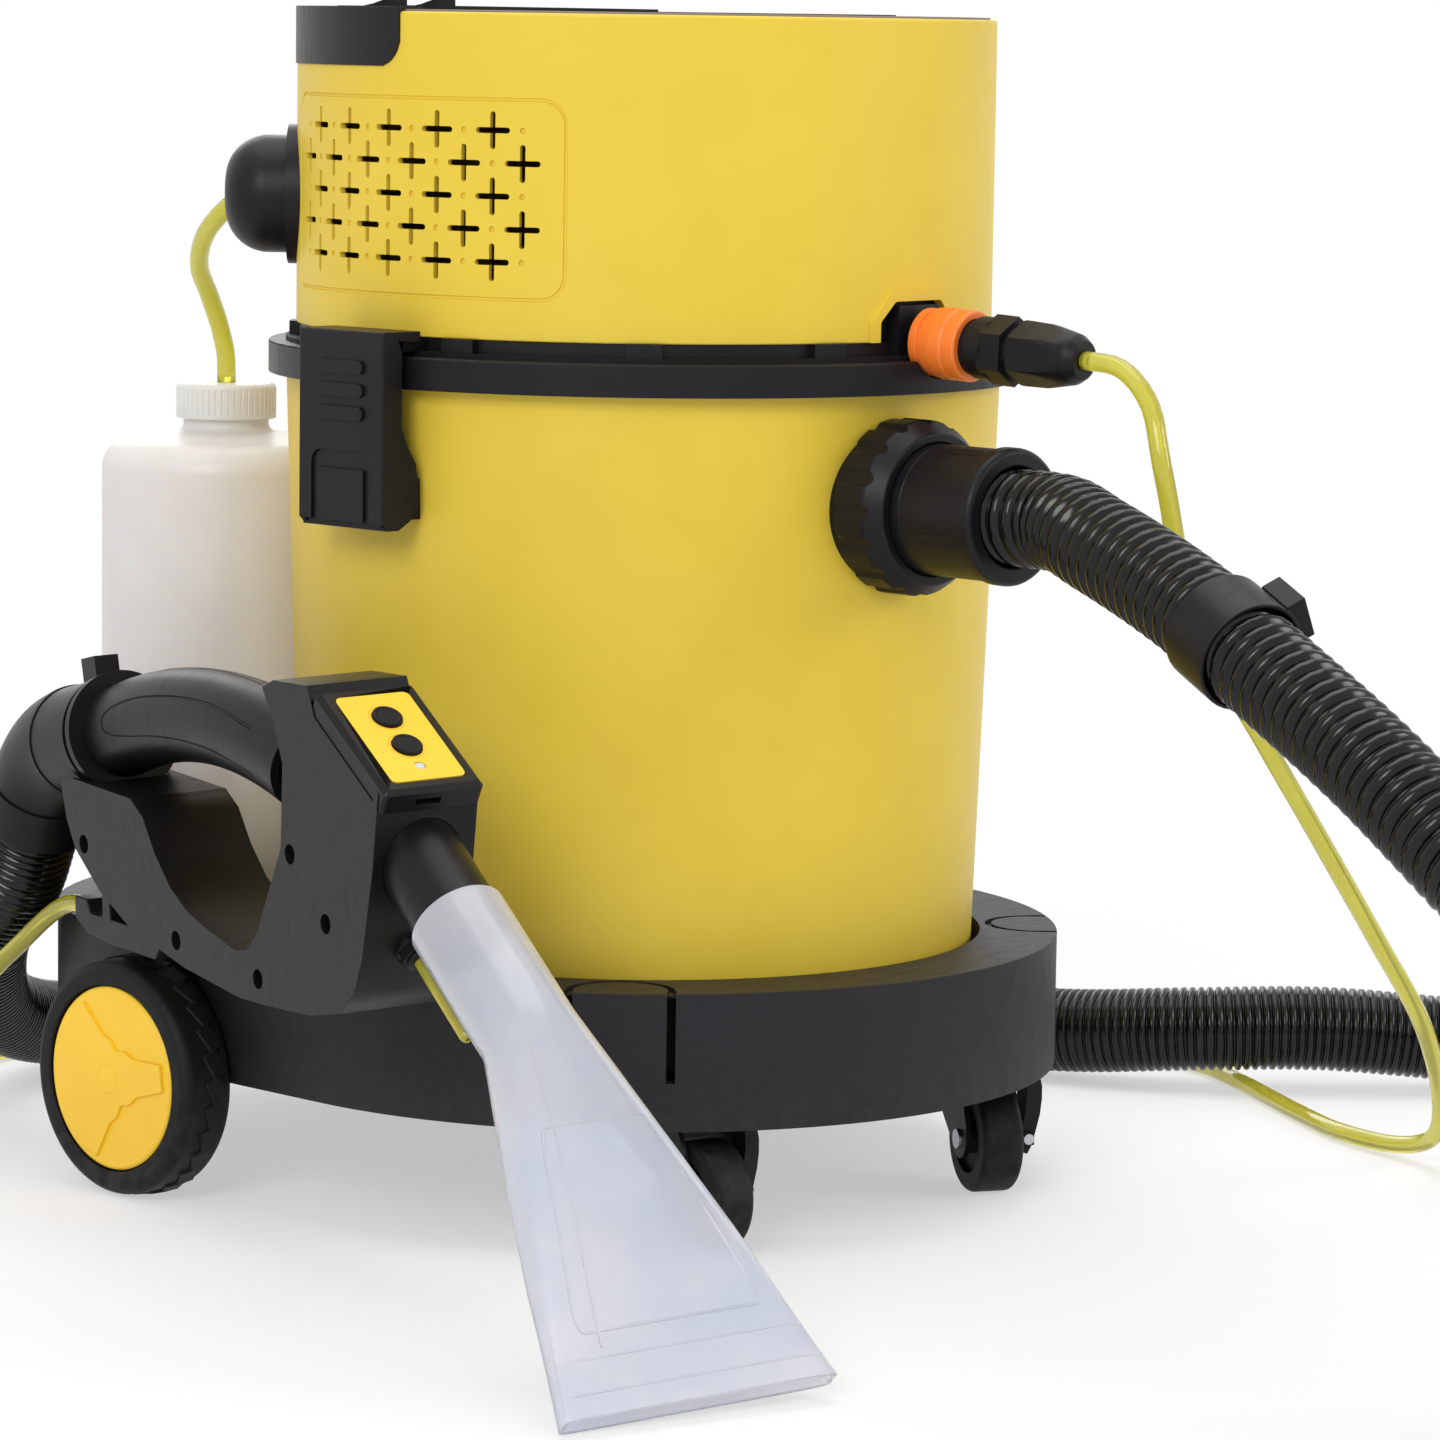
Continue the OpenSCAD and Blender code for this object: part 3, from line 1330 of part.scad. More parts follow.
module elbow_sweep(r) {
    translate([0, elbow_mid.x - elbow_bend * sin(elbow_dip), elbow_mid.y - elbow_bend * cos(elbow_dip)])
        rotate([0, 90, 0]) rotate([0, 0, 180 - elbow_dip - elbow_turn])
            rotate_extrude(angle = elbow_turn) translate([elbow_bend, 0]) circle(r);
}

// The pod's own frame: +Y down its face towards the front, +Z out of its face
module on_pod() {
    translate([0, pod_back.x, pod_back.y]) rotate([0, 0, 180]) rotate([-pod_dip, 0, 0]) children();
}

module pod_space(more) {
    on_pod() translate([-pod_w / 2 - more, -more, -pod_t - more])
        cube([pod_w + 2 * more, pod_l + 2 * more, pod_t + more + 20]);
}

key_in = 6;
key_t = 1.4;

module control_pod() {
    color(BLACK) in_tool() on_pod() difference() {
        translate([-pod_w / 2, 0, -pod_t]) cube([pod_w, pod_l, pod_t]);
        translate([key_in - pod_w / 2 - gap, key_in - gap, -key_t])
            cube([pod_w - 2 * key_in + 2 * gap, pod_l - 2 * key_in + 2 * gap, 5]);
        for (y = button_places) translate([0, y, -6]) cylinder(d = button_d + 2 * gap, h = 10);
        translate([-4, pod_l - 3, -pod_t + 2]) cube([12, 5, 3]);
    }
}

module keypad() {
    color(HUB_YELLOW) in_tool() on_pod() difference() {
        translate([key_in - pod_w / 2, key_in, -key_t])
            cube([pod_w - 2 * key_in, pod_l - 2 * key_in, key_t + 0.3]);
        for (y = button_places) translate([0, y, -5]) cylinder(d = button_d + 2 * gap, h = 10);
        translate([0, lens_place, -5]) cylinder(r = 2.5, h = 10);
    }
    color("white") in_tool() on_pod() translate([0, lens_place, -key_t]) cylinder(r = 2.4, h = key_t + 0.5);
}

module button(i) {
    color(BLACK) in_tool() on_pod() translate([0, button_places[i], -6 + button_travel + 0.3])
        cylinder(d = button_d, h = 6.8);
}

module neck_tube() {
    color(BLACK) in_tool() along_tool(neck_start, 180 - neck_dip) difference() {
        union() {
            cylinder(r = neck_r, h = neck_l);
            translate([0, 0, 2]) cylinder(r = neck_r + 2, h = 3);
        }
        translate([0, 0, -1]) cylinder(r = neck_r - 2.5, h = neck_l + 2);
    }
}

// Loop of points on a rounded rectangle; "soft" is 1 on a circle and small on a sharp corner
function flat_loop(c, across, up, w, t, soft, n) = [for (j = [0 : n - 1]) let (a = 360 * j / n)
    c + w * sign(cos(a)) * pow(abs(cos(a)), soft) * across +
    t * sign(sin(a)) * pow(abs(sin(a)), soft) * up];

nozzle_sides = 20;
nozzle_steps = 8;
socket_r = neck_r + gap + nozzle_wall;
socket_end = socket_start - nozzle_socket * [cos(neck_dip), sin(neck_dip)];
lip_dip = atan2(socket_end.y, socket_end.x);

// Sections of the nozzle's flare from its socket to its lip, drawn in the tool's frame
function flare(in, f) =
    let (y = socket_end.x * (1 - f), z = socket_end.y * (1 - f))
    let (dip = neck_dip + (lip_dip - neck_dip) * min(1, 3 * f))
    let (s = 3 * f ^ 2 - 2 * f ^ 3)
    flat_loop([0, y, z], [1, 0, 0], [0, -sin(dip), cos(dip)],
        socket_r - in + (lip_w / 2 - socket_r) * f,
        socket_r - in + (lip_t / 2 - socket_r) * s, max(0.3, min(1, 1 - 1.2 * f)), nozzle_sides);

module flare_solid(in, from, to) {
    loops = [for (i = [0 : nozzle_steps]) flare(in, from + (to - from) * i / nozzle_steps)];
    last = nozzle_steps * nozzle_sides;
    caps = [for (j = [1 : nozzle_sides - 2]) each [[0, j, j + 1], [last, last + j + 1, last + j]]];
    polyhedron([for (l = loops) each l],
        concat(wall_faces(0, nozzle_steps + 1, nozzle_sides, false), caps), convexity = 6);
}

module nozzle() {
    color(CLEAR) in_tool() difference() {
        union() {
            along_tool(socket_start, 180 - neck_dip) cylinder(r = socket_r, h = nozzle_socket);
            flare_solid(0.15, -0.03, 1);
        }
        along_tool(socket_start, 180 - neck_dip) translate([0, 0, -1])
            cylinder(r = neck_r + gap, h = nozzle_socket + 1);
        flare_solid(nozzle_wall + 0.15, -0.04, 1.02);
    }
}

// Spray nut and jet under the neck, the bracket under the guard, and the shell screws
module tool_fittings() {
    color(BLACK) in_tool() {
        along_tool(spray_place, 180 - neck_dip) {
            translate([0, 0, -4]) cylinder(r = spray_nut_r, h = 6);
            translate([0, 0, 2 - e]) cylinder(r = spray_nut_r, h = 6, $fn = 6);
            cylinder(r = spray_nut_r - 2, h = 10);
        }
        tool_slab([[424, 119], [432, 110], [476, 110], [500, 112.5], [512, 118], [512, 128], [500, 128],
            [496, 122], [484, 122], [484, 154.3], [476, 148.74], [476, 122], [452, 122], [452, 134.67],
            [444, 131.2], [432, 124.4]], -12, 12);
    }
    color(TUBE) in_tool() along_tool(spray_place, 180 - neck_dip) translate([0, 0, 10 - e])
        cylinder(r = 3, h = 46);
    color(STEEL) in_tool() for (p = tool_screws) {
        tool_bore(p, 1.8, -10, 14);
        tool_bore(p, 3.8, -13, -10);
    }
}

base_tray();
axle();
tyre(-1);  // right_tyre
tyre(1);  // left_tyre
wheel(-1);  // right_wheel
wheel(1);  // left_wheel
hub_cap(-1);  // right_hub_cap
hub_cap(1);  // left_hub_cap
caster_fork(-1);  // right_caster_fork
caster_fork(1);  // left_caster_fork
caster_wheel(-1);  // right_caster_wheel
caster_wheel(1);  // left_caster_wheel
caster_pin(-1);  // right_caster_pin
caster_pin(1);  // left_caster_pin
caster_brake(-1);  // right_caster_brake
caster_brake(1);  // left_caster_brake
recovery_tank();
tank_rim();
rim_gasket();
latch_brackets();
latch_pins();
latch(-1);  // right_latch
latch(1);  // left_latch
inlet_spigot();
inlet_nut();
hose_cuff();
inlet_deflector();
float_cage();
float_ball();
head_base();
head_shell();
top_panel();
rear_band();
rocker(switch_y[0]);  // suction_switch
rocker(switch_y[1]);  // pump_switch
cord_gland();
vacuum_motor();
fan();
pump();
intake_boss();
intake_tube();
bottle();
bottle_cap();
coupler_sleeve();
coupler_body();
coupler_nut();
solution_tube();
suction_hose();
hose_clips();
tool_shell(-1);  // tool_shell_right
tool_shell(1);  // tool_shell_left
grip_tube();
tool_elbow();
control_pod();
keypad();
button(0);  // spray_button
button(1);  // suction_button
neck_tube();
nozzle();
tool_fittings();
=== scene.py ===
"""Spot extractor: drum, motor head, rolling base, bottle, hoses and hand tool."""

import json
from math import atan2, copysign, cos, hypot, pi, radians, sin, sqrt, tan

import bmesh
import bpy
import numpy as np
from mathutils import Matrix, Vector

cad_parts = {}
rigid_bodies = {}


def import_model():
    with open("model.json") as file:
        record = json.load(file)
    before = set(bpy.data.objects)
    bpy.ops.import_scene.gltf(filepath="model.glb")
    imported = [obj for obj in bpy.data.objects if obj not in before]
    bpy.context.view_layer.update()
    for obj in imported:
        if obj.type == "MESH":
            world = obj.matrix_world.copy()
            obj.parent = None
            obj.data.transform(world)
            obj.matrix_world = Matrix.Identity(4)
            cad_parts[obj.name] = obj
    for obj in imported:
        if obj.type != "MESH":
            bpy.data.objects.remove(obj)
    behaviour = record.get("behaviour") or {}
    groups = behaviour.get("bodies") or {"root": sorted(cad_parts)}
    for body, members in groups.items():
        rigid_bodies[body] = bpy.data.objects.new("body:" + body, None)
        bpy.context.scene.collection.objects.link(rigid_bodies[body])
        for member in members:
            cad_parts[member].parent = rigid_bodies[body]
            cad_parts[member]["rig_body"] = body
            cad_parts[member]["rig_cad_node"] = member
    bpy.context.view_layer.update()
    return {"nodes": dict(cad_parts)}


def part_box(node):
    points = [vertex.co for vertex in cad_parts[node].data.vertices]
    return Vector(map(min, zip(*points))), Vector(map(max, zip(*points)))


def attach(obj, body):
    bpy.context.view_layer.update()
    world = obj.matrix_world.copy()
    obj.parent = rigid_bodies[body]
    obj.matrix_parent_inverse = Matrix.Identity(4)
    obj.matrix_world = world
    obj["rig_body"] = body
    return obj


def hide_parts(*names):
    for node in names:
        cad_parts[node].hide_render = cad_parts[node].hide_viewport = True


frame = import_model()
nodes = frame["nodes"]
scene = bpy.context.scene
scene.view_settings.view_transform = "Standard"


# ---- camera, floor and lights ----

def add(tree, kind, links=(), **values):
    """A node of a kind with its properties set and its inputs linked or filled."""
    made = tree.nodes.new("ShaderNode" + kind)
    for key, value in values.items():
        setattr(made, key, value)
    for socket, source in dict(links).items():
        target = made.inputs[socket]
        if isinstance(source, bpy.types.NodeSocket):
            tree.links.new(source, target)
        else:
            target.default_value = source
    return made


def place_camera():
    data = bpy.data.cameras.new("studio_camera")
    data.lens = 137.5
    data.sensor_width = 36
    data.clip_end = 100
    camera = bpy.data.objects.new("studio_camera", data)
    scene.collection.objects.link(camera)
    turn = (Matrix.Rotation(radians(-45.85), 4, "Z") @ Matrix.Rotation(radians(90 - 7.19), 4, "X")
            @ Matrix.Rotation(radians(0.84), 4, "Z"))
    camera.matrix_world = Matrix.Translation((-1.802, -1.802, 0.5345)) @ turn
    scene.camera = camera


place_camera()


def seen_background(tree):
    """1 on the rays that show the background: straight, mirrored or through glass."""
    path = add(tree, "LightPath").outputs
    seen = path["Is Camera Ray"]
    for way in ("Is Glossy Ray", "Is Transmission Ray"):
        seen = add(tree, "Math", {0: seen, 1: path[way]}, operation="MAXIMUM").outputs["Value"]
    return seen


def lay_floor():
    """A pale floor that fades into the background away from the machine."""
    material = bpy.data.materials.new("studio_floor")
    material.use_nodes = True
    tree = material.node_tree
    skin = tree.nodes["Principled BSDF"]
    skin.inputs["Base Color"].default_value = (0.92, 0.92, 0.93, 1)
    skin.inputs["Roughness"].default_value = 0.85
    skin.inputs["Specular IOR Level"].default_value = 0.1
    away = add(tree, "VectorMath", {0: add(tree, "TexCoord").outputs["Object"]}, operation="LENGTH")
    reach = {"Value": away.outputs["Value"], "From Min": 0.3, "From Max": 1.1, "To Min": 0.5}
    fade = add(tree, "MapRange", reach, interpolation_type="SMOOTHSTEP")
    seen = add(tree, "Math", {0: seen_background(tree), 1: fade.outputs["Result"]}, operation="MULTIPLY")
    white = add(tree, "Emission", {"Strength": 1})
    both = add(tree, "MixShader", {0: seen.outputs["Value"], 1: skin.outputs["BSDF"], 2: white.outputs[0]})
    tree.links.new(both.outputs["Shader"], tree.nodes["Material Output"].inputs["Surface"])
    bpy.ops.mesh.primitive_circle_add(vertices=64, radius=30, fill_type="NGON")
    floor = bpy.context.object
    floor.name = "studio_floor"
    floor.data.materials.append(material)


def light_room():
    world = bpy.data.worlds.new("studio_room")
    scene.world = world
    world.use_nodes = True
    tree = world.node_tree
    room = tree.nodes["Background"]
    room.inputs["Color"].default_value = (1, 1, 1, 1)
    room.inputs["Strength"].default_value = 0.5
    white = add(tree, "Background", {"Color": (1, 1, 1, 1), "Strength": 1})
    both = add(tree, "MixShader", {0: seen_background(tree), 1: room.outputs[0], 2: white.outputs[0]})
    tree.links.new(both.outputs["Shader"], tree.nodes["World Output"].inputs["Surface"])
    for name, place, aim, size, power in (
        ("front_left_box", (-3.2, -1.6, 2.2), (0, 0, 0.25), 1.6, 62),
        ("front_right_box", (1.9, -2.9, 1.7), (0, 0, 0.3), 1.2, 30),
        ("overhead_box", (0.2, 0.3, 3.0), (0, 0, 0), 2.4, 40),
        ("back_box", (1.6, 2.6, 1.8), (0, 0, 0.3), 1.5, 16),
    ):
        data = bpy.data.lights.new(name, "AREA")
        data.shape = "SQUARE"
        data.size = size
        data.energy = power
        lamp = bpy.data.objects.new(name, data)
        lamp.location = place
        lamp.rotation_euler = (Vector(aim) - Vector(place)).to_track_quat("-Z", "Y").to_euler()
        scene.collection.objects.link(lamp)


lay_floor()
light_room()


# ---- shader groups ----

def colour(r, g, b):
    """Linear colour of a paint chip given in 0 to 255."""
    chip = (r / 255, g / 255, b / 255)
    return tuple(c / 12.92 if c <= 0.04045 else ((c + 0.055) / 1.055) ** 2.4 for c in chip) + (1,)


def new_group(name, inputs, outputs):
    group = bpy.data.node_groups.new(name, "ShaderNodeTree")
    for label, kind, value in inputs:
        socket = group.interface.new_socket(label, in_out="INPUT", socket_type="NodeSocket" + kind)
        if value is not None:
            socket.default_value = value
    for label, kind in outputs:
        group.interface.new_socket(label, in_out="OUTPUT", socket_type="NodeSocket" + kind)
    start = group.nodes.new("NodeGroupInput")
    end = group.nodes.new("NodeGroupOutput")
    return group, start.outputs, end.inputs


def noise_on(group, place, scale, detail, rough=0.5):
    return add(group, "TexNoise", {"Vector": place, "Scale": scale, "Detail": detail, "Roughness": rough})


def per_metre(group, size):
    """The noise scale that gives patches of a size."""
    return add(group, "Math", {0: 1.0, 1: size}, operation="DIVIDE").outputs[0]


def build_mottle():
    """Slow drift of a moulding's colour between two near tones."""
    group, given, out = new_group("moulding_tone", [
        ("Tone", "Color", (0.5, 0.5, 0.5, 1)), ("Second Tone", "Color", (0.4, 0.4, 0.4, 1)),
        ("Patch Size", "Float", 0.06)], [("Color", "Color")])
    place = add(group, "TexCoord").outputs["Object"]
    noise = noise_on(group, place, per_metre(group, given["Patch Size"]), 3.0, 0.6)
    mask = add(group, "MapRange", {"Value": noise.outputs["Fac"], "From Min": 0.35, "From Max": 0.68})
    tones = {0: mask.outputs["Result"], 6: given["Tone"], 7: given["Second Tone"]}
    mix = add(group, "Mix", tones, data_type="RGBA")
    group.links.new(mix.outputs[2], out["Color"])
    return group


def build_grain():
    """Fine spark-eroded grain of a mould and the slight sink of its walls."""
    group, given, out = new_group("mould_grain", [
        ("Grain Size", "Float", 0.0006), ("Sink Size", "Float", 0.03), ("Sink", "Float", 0.3)],
        [("Height", "Float")])
    place = add(group, "TexCoord").outputs["Object"]
    grain = noise_on(group, place, per_metre(group, given["Grain Size"]), 2.0)
    sink = noise_on(group, place, per_metre(group, given["Sink Size"]), 1.0)
    heights = {0: given["Sink"], 2: grain.outputs["Fac"], 3: sink.outputs["Fac"]}
    mix = add(group, "Mix", heights, data_type="FLOAT")
    group.links.new(mix.outputs[0], out["Height"])
    return group


def build_scuffs():
    """Faint rub marks and wiped patches, as a mask."""
    group, given, out = new_group("rub_marks", [("Mark Size", "Float", 0.02), ("Share", "Float", 0.3)],
                                  [("Mask", "Float")])
    place = add(group, "TexCoord").outputs["Object"]
    slanted = add(group, "Mapping", {"Vector": place, "Rotation": (0.4, 0.9, 0.3), "Scale": (1, 6, 1)})
    streaks = noise_on(group, slanted.outputs[0], per_metre(group, given["Mark Size"]), 4.0, 0.65)
    low = add(group, "Math", {0: 0.75, 1: given["Share"]}, operation="SUBTRACT").outputs[0]
    mask = add(group, "MapRange", {"Value": streaks.outputs["Fac"], "From Min": low, "From Max": 0.8})
    group.links.new(mask.outputs["Result"], out["Mask"])
    return group


def build_dust():
    """Light dust that settles on pieces near the floor."""
    group, given, out = new_group("floor_dust", [
        ("Color", "Color", (0.1, 0.1, 0.1, 1)), ("Dust", "Color", (0.35, 0.33, 0.3, 1)),
        ("Reach", "Float", 0.08), ("Amount", "Float", 0.2)], [("Color", "Color")])
    place = add(group, "TexCoord").outputs["Object"]
    split = add(group, "SeparateXYZ", {0: place})
    high = add(group, "MapRange", {"Value": split.outputs["Z"], "From Min": given["Reach"], "From Max": 0.0})
    noise = noise_on(group, place, 140.0, 4.0)
    spots = add(group, "MapRange", {"Value": noise.outputs["Fac"], "From Min": 0.42, "From Max": 0.7})
    both = add(group, "Math", {0: high.outputs["Result"], 1: spots.outputs["Result"]}, operation="MULTIPLY")
    much = add(group, "Math", {0: both.outputs[0], 1: given["Amount"]}, operation="MULTIPLY")
    mix = add(group, "Mix", {0: much.outputs[0], 6: given["Color"], 7: given["Dust"]}, data_type="RGBA")
    group.links.new(mix.outputs[2], out["Color"])
    return group


TONE, GRAIN, SCUFFS, DUST = build_mottle(), build_grain(), build_scuffs(), build_dust()


def place_group(tree, group, **values):
    made = tree.nodes.new("ShaderNodeGroup")
    made.node_tree = group
    for label, value in values.items():
        made.inputs[label.replace("_", " ")].default_value = value
    return made


def moulded(name, tone, second, rough, depth=0.12, sink=0.3, scuff=0.25, dust=0.0, patch=0.06, **fixed):
    """A moulded finish: drifting tone, mould grain, rub marks in the gloss and dust low down."""
    material = bpy.data.materials.new(name)
    material.use_nodes = True
    tree = material.node_tree
    skin = tree.nodes["Principled BSDF"]
    for label, value in fixed.items():
        skin.inputs[label.replace("_", " ")].default_value = value
    tones = place_group(tree, TONE, Tone=tone, Second_Tone=second, Patch_Size=patch)
    shade = tones.outputs["Color"]
    if dust:
        dusty = place_group(tree, DUST, Amount=dust)
        tree.links.new(shade, dusty.inputs["Color"])
        shade = dusty.outputs["Color"]
    tree.links.new(shade, skin.inputs["Base Color"])
    marks = place_group(tree, SCUFFS, Share=scuff)
    gloss = add(tree, "MapRange", {"Value": marks.outputs["Mask"], "To Min": rough, "To Max": rough + 0.13})
    tree.links.new(gloss.outputs["Result"], skin.inputs["Roughness"])
    skinned = place_group(tree, GRAIN, Sink=sink)
    bump = add(tree, "Bump", {"Height": skinned.outputs["Height"], "Strength": depth, "Distance": 0.0008})
    tree.links.new(bump.outputs["Normal"], skin.inputs["Normal"])
    return material


SATIN = {"Specular_IOR_Level": 0.32}
DULL = {"Specular_IOR_Level": 0.2}

YELLOW = moulded("yellow_moulding", colour(230, 200, 66), colour(226, 195, 60), 0.42, depth=0.06, **SATIN)
HUB_YELLOW = moulded("hub_yellow_moulding", colour(250, 204, 48), colour(246, 198, 42), 0.38, depth=0.06)
BLACK = moulded("black_moulding", colour(24, 22, 26), colour(19, 18, 21), 0.38, depth=0.12, **DULL)
BASE_BLACK = moulded("base_black_moulding", colour(27, 24, 30), colour(23, 21, 25), 0.5, depth=0.14, dust=0.08,
                     **SATIN)
TOOL_BLACK = moulded("tool_black_moulding", colour(22, 20, 23), colour(17, 16, 18), 0.34, depth=0.1, **DULL)
HOSE = moulded("gloss_hose_vinyl", colour(10, 10, 11), colour(8, 8, 9), 0.15, depth=0.04, dust=0.03, **SATIN)
TYRE = moulded("tyre_rubber", colour(20, 19, 21), colour(16, 15, 17), 0.55, depth=0.16, dust=0.06, **DULL)
SOFT_BLACK = moulded("soft_black_rubber", colour(20, 19, 21), colour(16, 15, 17), 0.6, depth=0.12, **DULL)
ORANGE = moulded("orange_anodised_sleeve", colour(255, 132, 50), colour(250, 124, 44), 0.36, depth=0.05)
GREY = moulded("grey_panel_moulding", colour(146, 136, 128), colour(139, 129, 122), 0.55, depth=0.14)
STEEL = moulded("brushed_steel", colour(196, 196, 200), colour(184, 184, 190), 0.3, depth=0.05, Metallic=1.0)
BOTTLE = moulded("milky_polyethylene", colour(244, 241, 238), colour(238, 234, 232), 0.4, depth=0.05,
                 Transmission_Weight=0.2, IOR=1.5, Subsurface_Weight=0.25)
CLEAR = moulded("clear_nozzle_plastic", colour(246, 246, 251), colour(234, 238, 249), 0.12, depth=0.02,
                sink=1.0, scuff=0.1, patch=0.05, Transmission_Weight=0.66, IOR=1.4)
TUBE = moulded("yellow_clear_tube", colour(222, 216, 84), colour(212, 205, 72), 0.08, depth=0.0, sink=1.0,
               scuff=0.05, Transmission_Weight=0.6, IOR=1.45)

# The finish of each slot, and the slot of each finish
FINISH = {
    "yellow_plastic": YELLOW, "hub_yellow": HUB_YELLOW, "black_plastic": BLACK, "hose_black": HOSE,
    "tyre_black": TYRE, "soft_black": SOFT_BLACK, "steel": STEEL, "orange_plastic": ORANGE,
    "grey_plastic": GREY, "bottle_white": BOTTLE, "clear_plastic": CLEAR, "tube_yellow": TUBE,
}
SLOT = {finish.name: slot for slot, finish in FINISH.items()}
SLOT.update((finish.name, "black_plastic") for finish in (BASE_BLACK, TOOL_BLACK, SOFT_BLACK))


# ---- sizes that the hoses' routes share with the pieces ----

HEAD_R, HEAD_Z, HEAD_TOP, HEAD_WALL = 0.1605, 0.397, 0.539, 0.003
COUPLER_AZ, COUPLER_R, COUPLER_DROOP = -86, 0.1665, 3
INLET_AZ, INLET_Z = -92, 0.325
BOTTLE_X, BOTTLE_Y, BOTTLE_Z, BOTTLE_R, BOTTLE_H = -0.069, 0.215, 0.110, 0.0595, 0.222
GRIP_CENTRE, GRIP_BEND = (0.380, -0.076), 0.300


# ---- routes of the hoses ----

HOSE_R, SOLUTION_R, INTAKE_R = 0.0215, 0.00425, 0.0045
# Shares of one rib's pitch, and how much of the groove's depth the hose has dropped there
RIB = ((0.1, 0.02), (0.28, 0.22), (0.41, 0.8), (0.5, 1.0), (0.59, 0.8), (0.72, 0.22), (0.9, 0.02))


def unit(v):
    return v / np.linalg.norm(v)


def smooth(points, steps=12):
    """Smooth line through a route, straight in its first and last pieces."""
    p, last, line = np.array(points, float), len(points) - 1, [np.array(points[0], float)]

    def slope(i):
        if i == 1:
            return unit(p[1] - p[0]) * np.linalg.norm(p[2] - p[1])
        if i == last - 1:
            return unit(p[i + 1] - p[i]) * np.linalg.norm(p[i] - p[i - 1])
        return (p[i + 1] - p[i - 1]) / 2

    for i in range(1, last - 1):
        for t in np.arange(steps) / steps:
            line.append((2 * t ** 3 - 3 * t ** 2 + 1) * p[i] + (t ** 3 - 2 * t ** 2 + t) * slope(i)
                        + (3 * t ** 2 - 2 * t ** 3) * p[i + 1] + (t ** 3 - t ** 2) * slope(i + 1))
    return np.array(line + [p[last - 1], p[last]])


def along(line, where):
    """Points at given lengths along a line."""
    s = np.r_[0, np.cumsum(np.linalg.norm(np.diff(line, axis=0), axis=1))]
    return np.stack([np.interp(where, s, line[:, k]) for k in range(3)], 1)


def line_length(line):
    return float(np.linalg.norm(np.diff(line, axis=0), axis=1).sum())


def axis(azimuth, dip):
    """Unit vector that points to an azimuth and dips below level, in degrees."""
    a, d = radians(azimuth), radians(dip)
    return np.array([cos(a) * cos(d), sin(a) * cos(d), -sin(d)])


def heading(degrees):
    """Unit vector in the hand tool's own plane of Y and Z, turned from Z towards Y."""
    return np.array([sin(radians(degrees)), cos(radians(degrees))])


# The hand tool's own frame
TOOL = (Matrix.Translation((-0.315, -0.353, 0.0062)) @ Matrix.Rotation(radians(-13), 4, "Z")
        @ Matrix.Rotation(radians(-2), 4, "Y"))


def in_tool(x, y, z):
    return np.array(TOOL @ Vector((x, y, z)))


inlet_dir = axis(INLET_AZ, 0)
cuff_shoulder = inlet_dir * 0.212017 + (0, 0, INLET_Z)
elbow_tip = (np.array(GRIP_CENTRE) + GRIP_BEND * heading(19.3) + 0.048 * heading(102)
             + 0.060 * (heading(57) - heading(12)))
elbow_shoulder = in_tool(0, *elbow_tip)
elbow_dir = in_tool(0, *heading(147)) - in_tool(0, 0, 0)
coupler_dir = axis(COUPLER_AZ, COUPLER_DROOP)
coupler_mouth = axis(COUPLER_AZ, 0) * COUPLER_R + (0, 0, HEAD_Z + 0.0005) + coupler_dir * 0.087
barb_place = in_tool(0, 0.512, 0.120)
back_dir = in_tool(0, 1, 0) - in_tool(0, 0, 0)
intake_dir = axis(90, 32)
intake_root = np.array([-0.116, 0.133, 0.464]) + intake_dir * 0.024

SUCTION = np.array([
    (-24, -300, 318), (-42, -362, 300), (-60, -425, 275), (-75, -488, 246), (-84, -550, 208),
    (-80, -612, 162), (-55, -670, 115), (-5, -717, 75), (70, -745, 45), (160, -745, 27),
    (255, -722, 22), (345, -672, 22), (425, -600, 22), (485, -508, 22), (518, -405, 22),
    (520, -300, 23), (495, -215, 25.5), (448, -152, 27), (396, -100, 32), (350, -50, 30.5),
    (323, 9, 25), (308, 85, 22), (290, 160, 22), (254, 243, 22), (192, 312, 22),
    (115, 358, 22), (32, 373, 22.5), (-50, 364, 25), (-120, 330, 48), (-166, 279, 91)]) / 1000
SOLUTION = np.array([
    (17, -289, 378), (14, -302, 345), (29, -308, 285), (64, -318, 232), (110, -318, 180), (160, -312, 130),
    (208, -302, 86), (248, -284, 46), (275, -262, 18), (287, -232, 7), (299, -188, 5), (322, -145, 4.5),
    (345, -106, 4.5), (366, -70, 4.5), (388, -20, 4.5), (388, 45, 4.5), (365, 115, 4.5), (335, 190, 4.5),
    (285, 268, 4.5), (212, 342, 4.5), (118, 394, 4.5), (15, 410, 4.5), (-80, 400, 5.5), (-148, 364, 9),
    (-185, 316, 27), (-197, 266, 58), (-195, 222, 96)]) / 1000
INTAKE = np.array([(-111, 182, 433), (-99, 200, 418), (-84, 210, 403), (-73, 215, 387)]) / 1000

suction_line = smooth([cuff_shoulder, cuff_shoulder + 0.045 * inlet_dir, *SUCTION,
                       elbow_shoulder + 0.044 * elbow_dir, elbow_shoulder])
solution_line = smooth([coupler_mouth, coupler_mouth + 0.011 * coupler_dir, *SOLUTION,
                        barb_place + 0.020 * back_dir, barb_place])
intake_line = smooth([intake_root, intake_root + 0.009 * intake_dir, *INTAKE,
                      (BOTTLE_X, BOTTLE_Y, 0.370), (BOTTLE_X, BOTTLE_Y, 0.361)])


